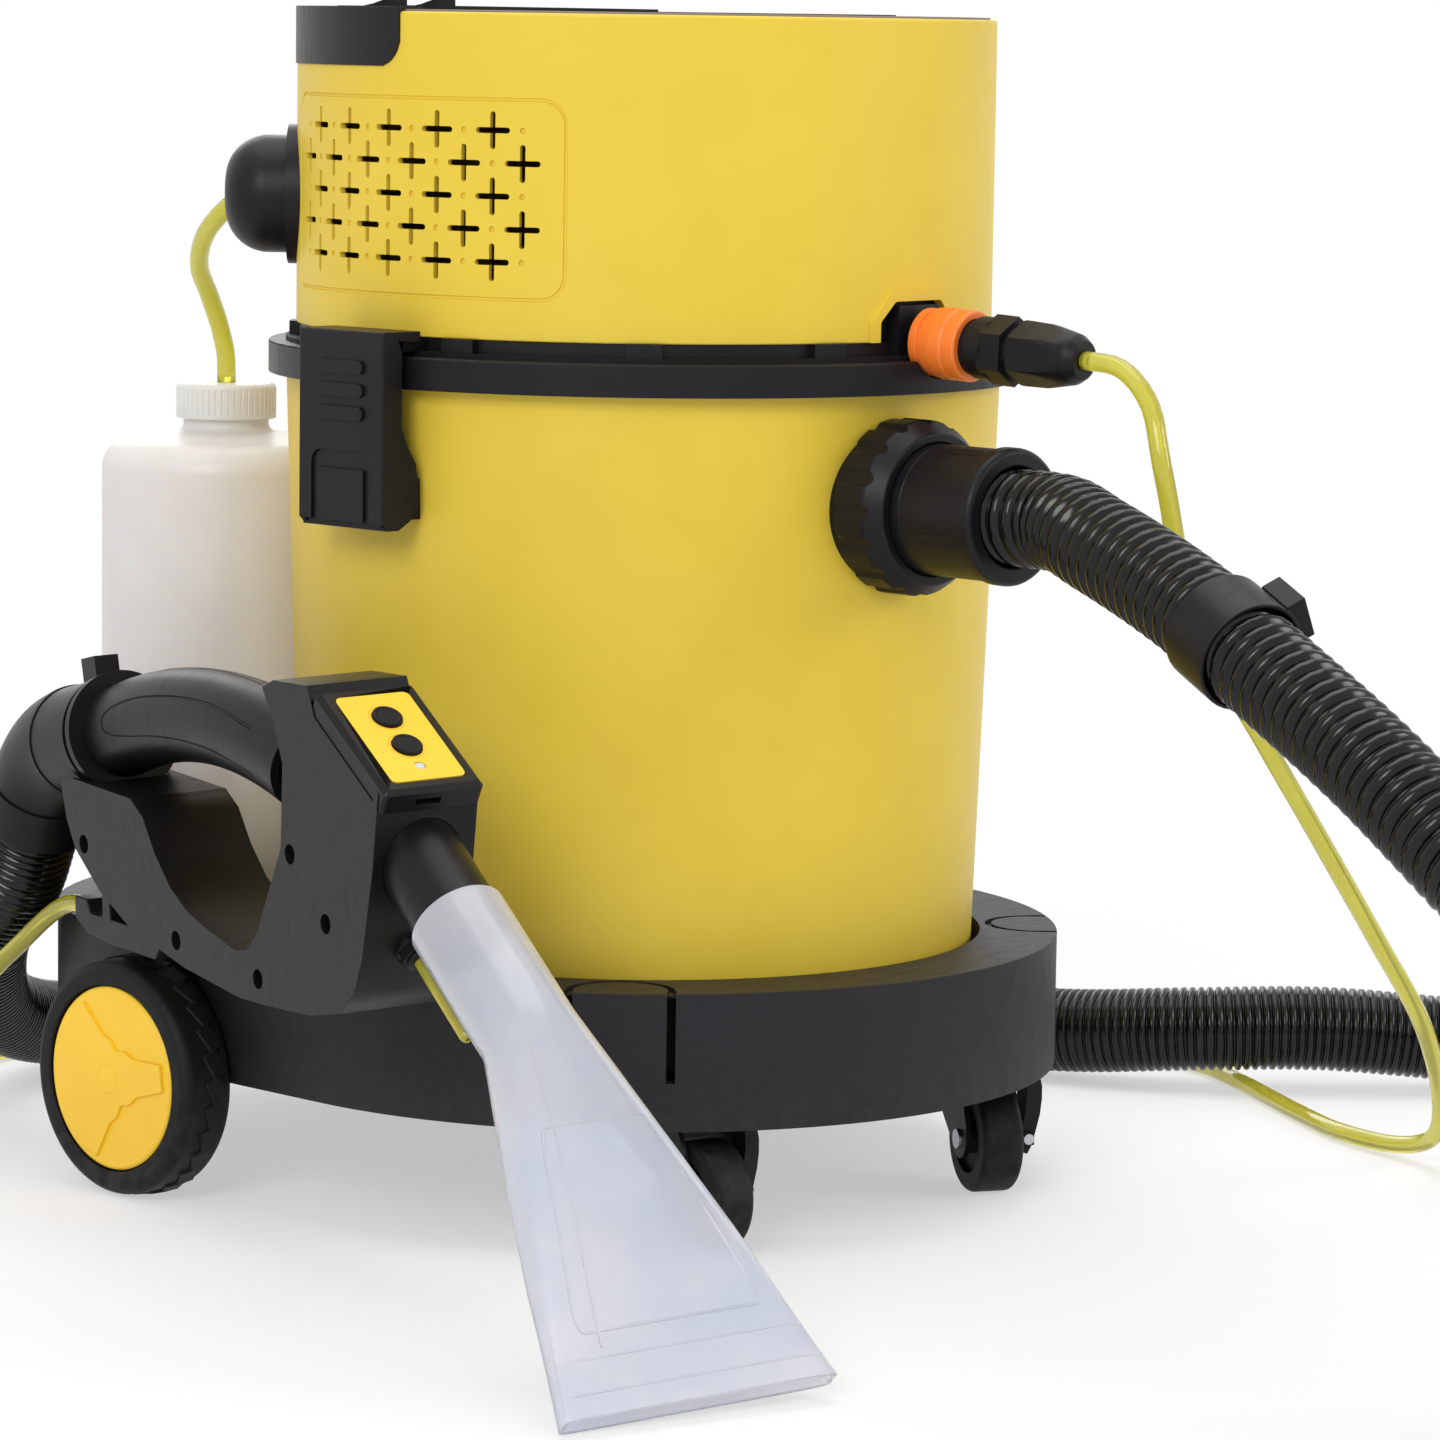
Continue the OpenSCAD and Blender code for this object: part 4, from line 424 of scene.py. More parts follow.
def sweep(name, line, stations, radii, sides, material):
    """A closed tube along a line, with a ring of its own radius at each station."""
    centres = along(line, stations)
    heads = np.array([unit(centres[min(i + 1, len(centres) - 1)] - centres[max(i - 1, 0)])
                      for i in range(len(centres))])
    up = np.array([0.1, 0.2, 1.0])
    turn = 2 * pi * np.arange(sides) / sides
    points = []
    for centre, head, r in zip(centres, heads, radii):
        up = unit(up - (up @ head) * head)
        across = np.cross(head, up)
        points.append(centre + r * (np.outer(np.cos(turn), up) + np.outer(np.sin(turn), across)))
    count = len(centres)
    faces = []
    for i in range(count - 1):
        here, there = i * sides, (i + 1) * sides
        faces += [(here + j, here + (j + 1) % sides, there + (j + 1) % sides, there + j) for j in range(sides)]
    faces += [tuple(reversed(range(sides))), tuple(range((count - 1) * sides, count * sides))]
    mesh = bpy.data.meshes.new(name)
    mesh.from_pydata(np.vstack(points).tolist(), [], faces)
    mesh.polygons.foreach_set("use_smooth", [len(f) == 4 for f in faces])
    mesh.materials.append(material)
    piece = bpy.data.objects.new(name, mesh)
    scene.collection.objects.link(piece)
    return piece


def rib_stations(length):
    """Ribs stand wide on the hanging stretch by the cuff and closer towards the tool."""
    stations, radii, s = [0.0], [HOSE_R], 0.0
    while s < length - 0.004:
        pitch = float(np.interp(s, (0, 0.6, 1.1, 1.5, 2.6), (0.0076, 0.0074, 0.0056, 0.0045, 0.0041)))
        groove = 0.46 * pitch
        for share, drop in RIB:
            stations.append(min(s + share * pitch, length - 1e-4))
            radii.append(HOSE_R - groove * drop)
        s += pitch
    return np.array(stations + [length]), np.array(radii + [HOSE_R])


def declare_hose(hose, node, slot, line, r, samples, **pieces):
    """Rides a hose on the machine and hides the solid that it stands for."""
    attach(hose, "machine")
    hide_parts(node)


def hang_hoses():
    stations, radii = rib_stations(line_length(suction_line))
    hose = sweep("ribbed_suction_hose", suction_line, stations, radii, 24, HOSE)
    collars = soften_node("hose_clips", "hose_clip_collars", "machine", BLACK, 0.0012, 3, 40)
    declare_hose(hose, "suction_hose", "hose_black", suction_line, HOSE_R, 400, with_pieces=[collars])
    for name, line, node, r in (("clear_solution_tube", solution_line, "solution_tube", SOLUTION_R),
                                ("clear_intake_tube", intake_line, "intake_tube", INTAKE_R)):
        length = line_length(line)
        count = int(length / 0.005)
        tube = sweep(name, line, np.linspace(0, length, count), np.full(count, r), 20, TUBE)
        declare_hose(tube, node, "tube_yellow", line, r, max(60, count // 2))


# ---- modelling by hand ----

def hold(*held):
    """Selects only these pieces, the first one active."""
    bpy.ops.object.select_all(action="DESELECT")
    for piece in held:
        piece.select_set(True)
    bpy.context.view_layer.objects.active = held[0]
    return held[0]


def choose(piece, kind, rule=None):
    """Opens a piece in edit mode with the vertices, edges or faces chosen that a rule names."""
    hold(piece)
    bpy.ops.object.mode_set(mode="EDIT")
    bpy.ops.mesh.select_mode(type=kind)
    bpy.ops.mesh.select_all(action="SELECT" if rule is None else "DESELECT")
    if rule is None:
        return
    shape = bmesh.from_edit_mesh(piece.data)
    for part in {"VERT": shape.verts, "EDGE": shape.edges, "FACE": shape.faces}[kind]:
        part.select_set(bool(rule(part)))
    shape.select_flush_mode()
    bmesh.update_edit_mesh(piece.data)


def close_edit(piece):
    bpy.ops.object.mode_set(mode="OBJECT")
    return piece


def mend(piece):
    """Merges doubles and turns every face outwards."""
    choose(piece, "VERT")
    bpy.ops.mesh.remove_doubles(threshold=1e-6)
    bpy.ops.mesh.delete_loose()
    bpy.ops.mesh.select_all(action="SELECT")
    bpy.ops.mesh.normals_make_consistent(inside=False)
    return close_edit(piece)


def put(piece, matrix):
    piece.data.transform(matrix)
    piece.data.update()
    return piece


def twin(piece, matrix=None):
    """A copy with its own mesh, put somewhere else."""
    other = piece.copy()
    other.data = piece.data.copy()
    scene.collection.objects.link(other)
    return put(other, matrix) if matrix else other


def join(parts):
    if len(parts) > 1:
        hold(*parts)
        bpy.ops.object.join()
    return parts[0]


def modify(piece, kind, **settings):
    """Adds a modifier and applies it."""
    hold(piece)
    made = piece.modifiers.new(kind.lower(), kind)
    for key, value in settings.items():
        setattr(made, key, value)
    bpy.ops.object.modifier_apply(modifier=made.name)
    return piece


def shape_with(piece, tool, how="DIFFERENCE"):
    """Cuts, adds or meets a piece with another mesh, which is used up."""
    modify(piece, "BOOLEAN", object=tool, operation=how, solver="MANIFOLD")
    bpy.data.objects.remove(tool)
    return piece


def soften(piece, width, segments=2, angle=32):
    """Rounds every edge that turns more than an angle."""
    return modify(piece, "BEVEL", width=width, segments=segments, limit_method="ANGLE",
                  angle_limit=radians(angle), miter_outer="MITER_ARC")


def round_edges(piece, rule, width, segments=3):
    """Rounds the edges that a rule on their two ends names."""
    choose(piece, "EDGE", lambda edge: rule(*(v.co for v in edge.verts)))
    bpy.ops.mesh.bevel(offset=width, segments=segments, affect="EDGES", clamp_overlap=True)
    return close_edit(piece)


def rounded(points, radius, steps=4):
    """An outline with its corners rounded; radius is one value, or one for each corner."""
    radii = radius if isinstance(radius, (list, tuple)) else [radius] * len(points)
    result = []
    for i, r in enumerate(radii):
        before, corner, after = (Vector(points[k % len(points)]) for k in (i - 1, i, i + 1))
        if r == 0:
            result.append(tuple(corner))
            continue
        back, fore = (before - corner), (after - corner)
        half = back.angle(fore) / 2
        reach = min(r / tan(half), 0.499 * back.length, 0.499 * fore.length)
        start, end = corner + back.normalized() * reach, corner + fore.normalized() * reach
        centre = corner + (back.normalized() + fore.normalized()).normalized() * reach / cos(half)
        for k in range(steps + 1):
            arm = (start - centre).lerp(end - centre, k / steps)
            result.append(tuple(centre + arm.normalized() * reach * tan(half)))
    return result


def block(width, length):
    x, y = width / 2, length / 2
    return [(-x, -y), (x, -y), (x, y), (-x, y)]


def circle(r, steps, x=0, y=0):
    """Points of X and Y evenly round a circle."""
    return [(x + r * cos(a), y + r * sin(a)) for a in np.linspace(0, 2 * pi, steps + 1)[:-1]]


def lifted(points, z):
    return [(x, y, z) for x, y in points]


def slab(points, depth, matrix=None):
    """A slab that rises from an outline of X and Y."""
    bpy.ops.mesh.primitive_circle_add(vertices=len(points), fill_type="NGON")
    piece = bpy.context.object
    for corner, point in zip(piece.data.vertices, points):
        corner.co = (*point, 0)
    choose(piece, "FACE")
    bpy.ops.mesh.extrude_region_move(TRANSFORM_OT_translate={"value": (0, 0, depth)})
    close_edit(piece)
    mend(piece)
    return put(piece, matrix) if matrix else piece


def turned(outline, matrix=None, steps=96):
    """A round solid about its own Z, spun from a closed outline of radius and height."""
    bpy.ops.mesh.primitive_circle_add(vertices=len(outline), fill_type="NOTHING")
    piece = bpy.context.object
    for corner, (r, z) in zip(piece.data.vertices, outline):
        corner.co = (r, 0, z)
    choose(piece, "EDGE")
    bpy.ops.mesh.spin(steps=steps, angle=2 * pi, center=(0, 0, 0), axis=(0, 0, 1))
    close_edit(piece)
    mend(piece)
    return put(piece, matrix) if matrix else piece


def bead(points, radius, closed=False, matrix=None):
    """A thin round bead along a line, for raised lines and grooves."""
    data = bpy.data.curves.new("bead", "CURVE")
    data.dimensions = "3D"
    data.bevel_depth = radius
    data.bevel_resolution = 1
    data.use_fill_caps = True
    spline = data.splines.new("POLY")
    spline.points.add(len(points) - 1)
    for knot, point in zip(spline.points, points):
        knot.co = (*point, 1)
    spline.use_cyclic_u = closed
    piece = bpy.data.objects.new("bead", data)
    scene.collection.objects.link(piece)
    hold(piece)
    bpy.ops.object.convert(target="MESH")
    piece = mend(bpy.context.object)
    return put(piece, matrix) if matrix else piece


def lofted(loops, closed=True):
    """A skin drawn out ring by ring, with flat ends."""
    bpy.ops.mesh.primitive_circle_add(vertices=len(loops[0]), fill_type="NGON" if closed else "NOTHING")
    piece = bpy.context.object
    for corner, point in zip(piece.data.vertices, loops[0]):
        corner.co = point
    choose(piece, "FACE" if closed else "EDGE")
    for ring in loops[1:]:
        if closed:
            bpy.ops.mesh.extrude_region_move()
        else:
            bpy.ops.mesh.extrude_edges_move()
        shape = bmesh.from_edit_mesh(piece.data)
        shape.verts.ensure_lookup_table()
        fresh = shape.verts[-len(ring):]
        for corner, point in zip(fresh, ring):
            corner.co = point
        bmesh.update_edit_mesh(piece.data)
    close_edit(piece)
    return mend(piece)


def turn_z(degrees):
    return Matrix.Rotation(radians(degrees), 4, "Z")


def turn_y(degrees):
    return Matrix.Rotation(radians(degrees), 4, "Y")


def turn_x(degrees):
    return Matrix.Rotation(radians(degrees), 4, "X")


def shift(x, y, z):
    return Matrix.Translation((x, y, z))


def outwards(azimuth, r, z):
    """The frame of a piece that points outwards from the drum along its own Z."""
    return turn_z(azimuth) @ shift(r, 0, z) @ turn_y(90)


def recast(node):
    """A merged copy of a node's mesh, ready to be shaped."""
    piece = twin(nodes[node])
    piece.parent = None
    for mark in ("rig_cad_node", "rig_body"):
        if mark in piece:
            del piece[mark]
    hold(piece)
    bpy.ops.mesh.customdata_custom_splitnormals_clear()
    choose(piece, "VERT")
    bpy.ops.mesh.remove_doubles(threshold=1e-5)
    bpy.ops.mesh.dissolve_limited(angle_limit=radians(1))
    return close_edit(piece)


def hand_over(piece, name, body, material, *stood_for, angle=34):
    """Names a finished piece, gives it its finish and body, and hides the nodes that it stands for."""
    piece.name = name
    piece.data.name = name
    piece.data.materials.clear()
    piece.data.materials.append(material)
    hold(piece)
    bpy.ops.object.shade_smooth_by_angle(angle=radians(angle), keep_sharp_edges=False)
    modify(piece, "WEIGHTED_NORMAL", keep_sharp=True)
    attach(piece, body)
    if stood_for:
        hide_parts(*stood_for)
    return piece


def soften_node(node, name, body, material, width, segments=2, angle=32):
    """A node's own mesh with softer edges, in its place."""
    return hand_over(soften(recast(node), width, segments, angle), name, body, material, node)


def spread(pattern, places):
    """One piece made of a pattern's copies at several places."""
    return join([twin(pattern, place) for place in places])


def discard(*patterns):
    for pattern in patterns:
        bpy.data.objects.remove(pattern)


# ---- head ----

CROSS_L, CROSS_W = 0.0165, 0.0026
CROSS_TURN, ROW_STEP, FIRST_ROW = 10.2, 0.0143, 0.034
VENT_TURN = 32.5


def cut_vents(shell):
    """Cuts staggered rows of crosses and sinks the dimples between them."""
    slot = slab(rounded(block(CROSS_W, CROSS_L), CROSS_W / 2 - 1e-5), 0.012)
    dimple = turned(rounded([(0, 0), (0.0014, 0), (0.0014, 0.006), (0, 0.006)], [0, 0.0006, 0, 0]), steps=12)
    slots, dimples = [], []
    for middle in (0, 180):
        for row in range(5):
            z = HEAD_Z + FIRST_ROW + row * ROW_STEP
            reach = 2 + 0.5 * (row % 2)
            for column in np.arange(-reach, reach + 0.5):
                slots.append(outwards(middle + column * CROSS_TURN, HEAD_R - 0.008, z))
            for column in np.arange(-4.5 + reach, 5 - reach):
                dimples.append(outwards(middle + column * CROSS_TURN, HEAD_R - 0.0013, z))
    shape_with(shell, spread(slot, slots))
    shape_with(shell, spread(slot, [place @ turn_z(90) for place in slots]))
    shape_with(shell, spread(dimple, dimples))
    discard(slot, dimple)


def vent_border(middle):
    """Closed line round a vent panel, on the shell's surface."""
    half = radians(VENT_TURN) * HEAD_R
    low, high = HEAD_Z + FIRST_ROW - 0.016, HEAD_Z + FIRST_ROW + 5 * ROW_STEP - 0.001
    corners = rounded([(-half, low), (half, low), (half, high), (-half, high)], 0.011, 8)
    line = []
    for (u, z), (v, w) in zip(corners, corners[1:] + corners[:1]):
        steps = max(1, round(hypot(v - u, w - z) / 0.004))
        for k in range(steps):
            turn = radians(middle) + (u + (v - u) * k / steps) / HEAD_R
            line.append((HEAD_R * cos(turn), HEAD_R * sin(turn), z + (w - z) * k / steps))
    return line


def gate_outline(grow):
    points = [(-0.025 - grow, -0.004), (0.025 + grow, -0.004), (0.025 + grow, 0.009),
              (0.016 + grow / 2, 0.018 + grow), (-0.016 - grow / 2, 0.018 + grow), (-0.025 - grow, 0.009)]
    return rounded(points, [0, 0, 0.003, 0.003, 0.003, 0.003])


def gate_frame():
    """The frame in which an outline of Y and Z is drawn on the shell's front."""
    return turn_z(COUPLER_AZ) @ shift(0, 0, HEAD_Z) @ turn_z(90) @ turn_x(90)


def mould_head_shell():
    wall = turned(rounded([(HEAD_R - HEAD_WALL, HEAD_Z), (HEAD_R, HEAD_Z), (HEAD_R, HEAD_TOP),
                           (HEAD_R - HEAD_WALL, HEAD_TOP)], [0, 0.0008, 0.002, 0]), steps=256)
    arch = slab(gate_outline(0.005), 0.01, gate_frame() @ shift(0, 0, HEAD_R - 0.006))
    drum = turned([(HEAD_R - 0.0015, HEAD_Z), (HEAD_R + 0.0015, HEAD_Z), (HEAD_R + 0.0015, HEAD_Z + 0.03),
                   (HEAD_R - 0.0015, HEAD_Z + 0.03)], steps=256)
    shape_with(arch, drum, "INTERSECT")
    soften(arch, 0.0007, 2, 50)
    shape_with(wall, arch, "UNION")
    shape_with(wall, slab(gate_outline(0), 0.03, gate_frame() @ shift(0, 0, HEAD_R - 0.015)))
    for middle in (0, 180):
        shape_with(wall, bead(vent_border(middle), 0.0009, closed=True))
    cut_vents(wall)
    hand_over(wall, "vented_head_shell", "machine", YELLOW, "head_shell", angle=25)


def mould_head_trim():
    soften_node("rear_band", "rear_band_moulding", "machine", BLACK, 0.0012)
    soften_node("head_base", "neck_moulding", "machine", BLACK, 0.0006)


# ---- latches ----

LATCH_W, LATCH_R, LATCH_TOP = 0.055, 0.188, 0.400


def on_latch_front(p):
    """True on the sides and top of the lever's front face."""
    near = 2e-4
    return abs(p.x - LATCH_R) < near and (abs(abs(p.y) - LATCH_W / 2) < near or abs(p.z - LATCH_TOP) < near)


def mould_latches():
    for side, turn in (("right", 180), ("left", 0)):
        latch = recast(side + "_latch")
        put(latch, turn_z(-turn))
        round_edges(latch, lambda a, b: on_latch_front(a) and on_latch_front(b), 0.0028, 4)
        soften(latch, 0.0005, 2, 40)
        put(latch, turn_z(turn))
        hand_over(latch, side + "_latch_lever_moulding", side + "_latch_lever", BLACK, side + "_latch")


# ---- suction inlet ----

NUT_IN, NUT_R, NUT_L = 0.165017, 0.039, 0.025
CUFF_IN, CUFF_R, CUFF_END = 0.181017, 0.029, 0.238017
SCALLOPS, SCALLOP_R = 16, 0.0052


def mould_inlet_nut():
    outline = [(0.0271, 0), (NUT_R, 0), (NUT_R, 0.017), (0.0335, NUT_L), (0.0294, NUT_L), (0.0294, 0.0212),
               (0.0335, 0.0212), (0.0335, 0.0155), (0.0271, 0.0155)]
    nut = turned(rounded(outline, [0, 0.001, 0.004, 0.0015, 0.0008, 0, 0, 0, 0]), steps=192)
    scallop = slab(circle(SCALLOP_R, 24), 0.0215, shift(0, 0, -0.002))
    places = [turn_z(360 * i / SCALLOPS) @ shift(NUT_R + 0.0034, 0, 0) for i in range(SCALLOPS)]
    shape_with(nut, spread(scallop, places))
    discard(scallop)
    soften(nut, 0.0007, 2, 35)
    put(nut, outwards(INLET_AZ, NUT_IN, INLET_Z))
    hand_over(nut, "scalloped_inlet_nut", "inlet_nut_ring", BLACK, "inlet_nut")


def mould_cuff():
    long, bead_r = CUFF_END - CUFF_IN, CUFF_R + 0.0012
    outline = [(0.0175, 0), (0.033, 0), (0.033, 0.0046), (CUFF_R, 0.0048), (CUFF_R, long - 0.0085),
               (bead_r, long - 0.008), (bead_r, long), (0.0222, long), (0.0222, long - 0.0258),
               (0.0175, long - 0.026)]
    cuff = turned(rounded(outline, [0, 0.001, 0.001, 0, 0.0006, 0.0006, 0.0028, 0.001, 0, 0]), steps=128)
    ends = [(CUFF_R + 0.0001, 0, 0.024), (CUFF_R + 0.0001, 0, long - 0.013)]
    turns = [90 * i + 20 + edge for i in range(4) for edge in (-4.5, 4.5)]
    bars = [bead(ends, 0.0005, matrix=turn_z(turn)) for turn in turns]
    shape_with(cuff, join(bars))
    shape_with(cuff, bead(lifted(circle(CUFF_R, 96), 0.0135), 0.0006, closed=True))
    put(cuff, outwards(INLET_AZ, CUFF_IN, INLET_Z))
    hand_over(cuff, "suction_hose_cuff", "machine", BLACK, "hose_cuff")


# ---- solution coupler ----

TUBE_NUT_START, TUBE_NUT_W, TUBE_NUT_L = 0.053, 0.025, 0.034


def along_coupler(start):
    root = turn_z(COUPLER_AZ) @ shift(COUPLER_R, 0, HEAD_Z + 0.0005)
    return root @ turn_y(90 + COUPLER_DROOP) @ shift(0, 0, start)


def hexagon(width):
    """A hexagon of a width over its flats."""
    return circle(width / sqrt(3), 6)


def mould_coupler():
    outline = [(0.0123, 0), (0.0147, 0), (0.0147, 0.0042), (0.0138, 0.0046), (0.0138, 0.0056),
               (0.0152, 0.0064), (0.0159, 0.012), (0.0159, 0.0180), (0.0153, 0.0190), (0.0153, 0.0200),
               (0.0159, 0.0206), (0.0159, 0.0266), (0.0123, 0.0266)]
    radii = [0, 0.0009, 0.0005, 0, 0, 0.0005, 0.003, 0.002, 0, 0, 0.0005, 0.0012, 0]
    sleeve = turned(rounded(outline, radii), along_coupler(0), 128)
    hand_over(sleeve, "orange_lock_sleeve", "coupler_ring", ORANGE, "coupler_sleeve")
    soften_node("coupler_body", "coupler_plug_body", "machine", BLACK, 0.0006)
    cap = slab(hexagon(TUBE_NUT_W), TUBE_NUT_L)
    outline = [(0, 0), (0.0140, 0), (0.0145, 0.0015), (0.0140, 0.016), (0.0112, 0.030), (0.0085, TUBE_NUT_L),
               (0, TUBE_NUT_L)]
    taper = turned(rounded(outline, [0, 0.001, 0.001, 0.01, 0.006, 0.001, 0], 6), steps=96)
    shape_with(cap, taper, "INTERSECT")
    shape_with(cap, slab(circle(0.0043, 32), 0.04, shift(0, 0, 0.026)))
    soften(cap, 0.0005, 2, 30)
    put(cap, along_coupler(TUBE_NUT_START))
    hand_over(cap, "tube_nut", "machine", BLACK, "coupler_nut", angle=28)


# ---- bottle ----

BOTTLE_CAP_R, BOTTLE_CAP_H, FLUTES = 0.024, 0.017, 48


def blow_bottle():
    high, mouth = BOTTLE_H, BOTTLE_H + 0.0225
    outline = [(0, 0), (BOTTLE_R, 0), (BOTTLE_R, high), (0.0205, high + 0.006), (0.0205, mouth), (0, mouth)]
    outer = rounded(outline, [0, 0.009, 0.014, 0.004, 0.001, 0], 8)
    bottle = turned(outer, shift(BOTTLE_X, BOTTLE_Y, BOTTLE_Z), 128)
    hand_over(bottle, "detergent_bottle", "machine", BOTTLE, "bottle")
    outline = [(0, 0), (BOTTLE_CAP_R, 0), (BOTTLE_CAP_R, BOTTLE_CAP_H), (0, BOTTLE_CAP_H)]
    cap = turned(rounded(outline, [0, 0.0008, 0.0024, 0], 5), steps=144)
    flute = slab(circle(0.0007, 8), 0.012, shift(BOTTLE_CAP_R + 0.0002, 0, 0.0025))
    shape_with(cap, spread(flute, [turn_z(360 * i / FLUTES) for i in range(FLUTES)]))
    discard(flute)
    dip = turned([(0.002, 0.01 - high), (0.0035, 0.01 - high), (0.0035, 0.014), (0.002, 0.014)], steps=32)
    shape_with(cap, dip, "UNION")
    put(cap, shift(BOTTLE_X, BOTTLE_Y, BOTTLE_Z + high + 0.012))
    hand_over(cap, "fluted_bottle_cap", "machine", BOTTLE, "bottle_cap")


# ---- base, wheels and casters ----

WHEEL_IN, WHEEL_Y, WHEEL_R, WHEEL_W, RIM_R, CAP_R = 0.198, 0.112, 0.055, 0.028, 0.043, 0.042
LUGS, LUG_H = 28, 0.0040


def at_wheel(side):
    return shift(side * WHEEL_IN, WHEEL_Y, WHEEL_R) @ turn_y(side * 90)


def mould_base():
    """Rounds the tray's outer top edge."""
    tray = recast("base_tray")
    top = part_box("base_tray")[1].z

    def outer(p):
        if abs(p.z - top) > 1e-4:
            return False
        if p.y > WHEEL_Y:
            return abs(p.x) > 0.19 or p.y > 0.25
        return hypot(p.x, min(p.y, 0)) > 0.193

    round_edges(tray, lambda a, b: outer(a) and outer(b), 0.0022, 3)
    hand_over(tray, "base_tray_moulding", "machine", BASE_BLACK, "base_tray")


def mould_tyre():
    tread_r = WHEEL_R - 0.0012
    tyre = turned(rounded([(RIM_R, 0), (tread_r, 0), (tread_r, WHEEL_W), (RIM_R, WHEEL_W)],
                          [0.0008, 0.004, 0.006, 0.0012], 6), steps=168)
    lug = slab(rounded(block(0.0088, 0.0125), 0.0008), LUG_H)
    seat = shift(WHEEL_R - LUG_H, 0, 0.0105) @ turn_y(90) @ turn_z(24)
    tread = spread(lug, [turn_z(360 * i / LUGS) @ seat for i in range(LUGS)])
    discard(lug)
    return shape_with(tyre, soften(tread, 0.0007, 1, 60), "UNION")


def mould_hub_cap():
    cap = turned(rounded([(0, 0), (CAP_R, 0), (CAP_R, 0.0008), (CAP_R - 0.0012, 0.0017), (0, 0.0022)],
                         [0, 0, 0.0005, 0.002, 0], 4), steps=128)
    arm = rounded([(0, -0.0125), (0.0135, -0.0122), (0.0185, -0.0088), (0.0375, -0.0062), (0.0375, 0.0062),
                   (0.0185, 0.0088), (0.0135, 0.0122), (0, 0.0125)],
                  [0, 0.004, 0.003, 0.001, 0.001, 0.003, 0.004, 0], 3)
    arms = [slab(arm, 0.0035, turn_z(120 * i + 8)) for i in range(3)]
    raised = arms[0]
    for other in arms[1:]:
        shape_with(raised, other, "UNION")
    soften(raised, 0.0006, 2, 40)
    shape_with(cap, raised, "UNION")
    return shape_with(cap, bead(lifted(circle(0.0065, 48), 0.0036), 0.00035, closed=True))


def mould_wheels():
    tyre, cap = mould_tyre(), mould_hub_cap()
    for name, side in (("right", -1), ("left", 1)):
        own_tyre = put(twin(tyre), at_wheel(side))
        hand_over(own_tyre, name + "_lugged_tyre", name + "_rear_wheel", TYRE, name + "_tyre")
        own_cap = put(twin(cap), at_wheel(side) @ shift(0, 0, WHEEL_W - 0.0022) @ turn_z(90 * side))
        hand_over(own_cap, name + "_embossed_hub_cap", name + "_rear_wheel", HUB_YELLOW,
                  name + "_hub_cap", angle=25)
    discard(tyre, cap)


def mould_casters():
    for side in ("right", "left"):
        caster = side + "_caster"
        soften_node(caster + "_fork", caster + "_fork_moulding", caster, BLACK, 0.0006)
        soften_node(caster + "_brake", side + "_brake_lever_moulding", side + "_brake_lever", BLACK, 0.0008)
        soften_node(caster + "_wheel", caster + "_roller_tread", caster + "_roller", TYRE, 0.0005, 2, 50)


# ---- hand tool ----

GRIP_R, GRIP_BORE = 0.021, 0.017
# Angles along and round the grip of the groove that bounds its softer face
GRIP_SEAM = ((-11, 62), (-7, 60), (0, 60), (8, 63), (13, 68), (15, 76), (15.4, 88), (14.6, 100), (12, 107),
             (6, 111), (0, 113), (-6, 115), (-12, 117))
NECK_DIP, NECK_R = 35, 0.0187
SOCKET_START, SOCKET_L, NOZZLE_WALL = (0.179, 0.1628), 0.068, 0.002
SOCKET_R = NECK_R + 0.0003 + NOZZLE_WALL
LIP_W, LIP_T = 0.125, 0.011
SPRAY_PLACE, SPRAY_NUT_R = (0.219, 0.147), 0.0075
POD_BACK, POD_DIP, POD_W, POD_L, POD_T = (0.254, 0.252), 31, 0.047, 0.069, 0.011
BUTTON_YS, WELL_R, LENS_Y, KEY_SINK = (0.022, 0.041), 0.0068, 0.054, 0.0014


def along_tool(at, dip):
    return TOOL @ shift(0, at[0], at[1]) @ turn_x(-90 - dip)


def on_pod(x=0, y=0, z=0):
    return TOOL @ shift(0, POD_BACK[0], POD_BACK[1]) @ turn_z(180) @ turn_x(-POD_DIP) @ shift(x, y, z)


def mould_tool_shells():
    for side, out in (("right", -1), ("left", 1)):
        shell = recast("tool_shell_" + side)
        put(shell, TOOL.inverted())
        face = out * 0.024
        round_edges(shell, lambda a, b: abs(a.x - face) < 1e-4 and abs(b.x - face) < 1e-4, 0.0018, 4)
        put(shell, TOOL)
        hand_over(shell, side + "_tool_shell_moulding", "machine", TOOL_BLACK, "tool_shell_" + side)


def grip_point(turn, r, around):
    """A point on the grip: turn is the angle along its bend, around the angle round its tube."""
    t, a = radians(turn), radians(around)
    reach = GRIP_BEND + r * cos(a)
    return (r * sin(a), GRIP_CENTRE[0] + reach * sin(t), GRIP_CENTRE[1] + reach * cos(t))


def grip_ring(turn, r, sides):
    return [grip_point(turn, r, 360 * k / sides) for k in range(sides)]


def mould_grip():
    tube = lofted([grip_ring(turn, GRIP_R, 48) for turn in np.linspace(-15.5, 19.3, 48)])
    shape_with(tube, lofted([grip_ring(turn, GRIP_BORE, 32) for turn in np.linspace(-17, 21, 30)]))
    for side in (-1, 1):
        line = [grip_point(turn, GRIP_R, side * around) for turn, around in GRIP_SEAM]
        shape_with(tube, bead([tuple(p) for p in smooth(line, 6)], 0.0008))
    put(tube, TOOL)
    hand_over(tube, "bent_grip_tube", "machine", TOOL_BLACK, "grip_tube", angle=25)


def mould_elbow():
    soften_node("tool_elbow", "rear_elbow_moulding", "machine", TOOL_BLACK, 0.0007, 2, 40)
    soften_node("neck_tube", "neck_tube_moulding", "machine", TOOL_BLACK, 0.0006, 2, 40)


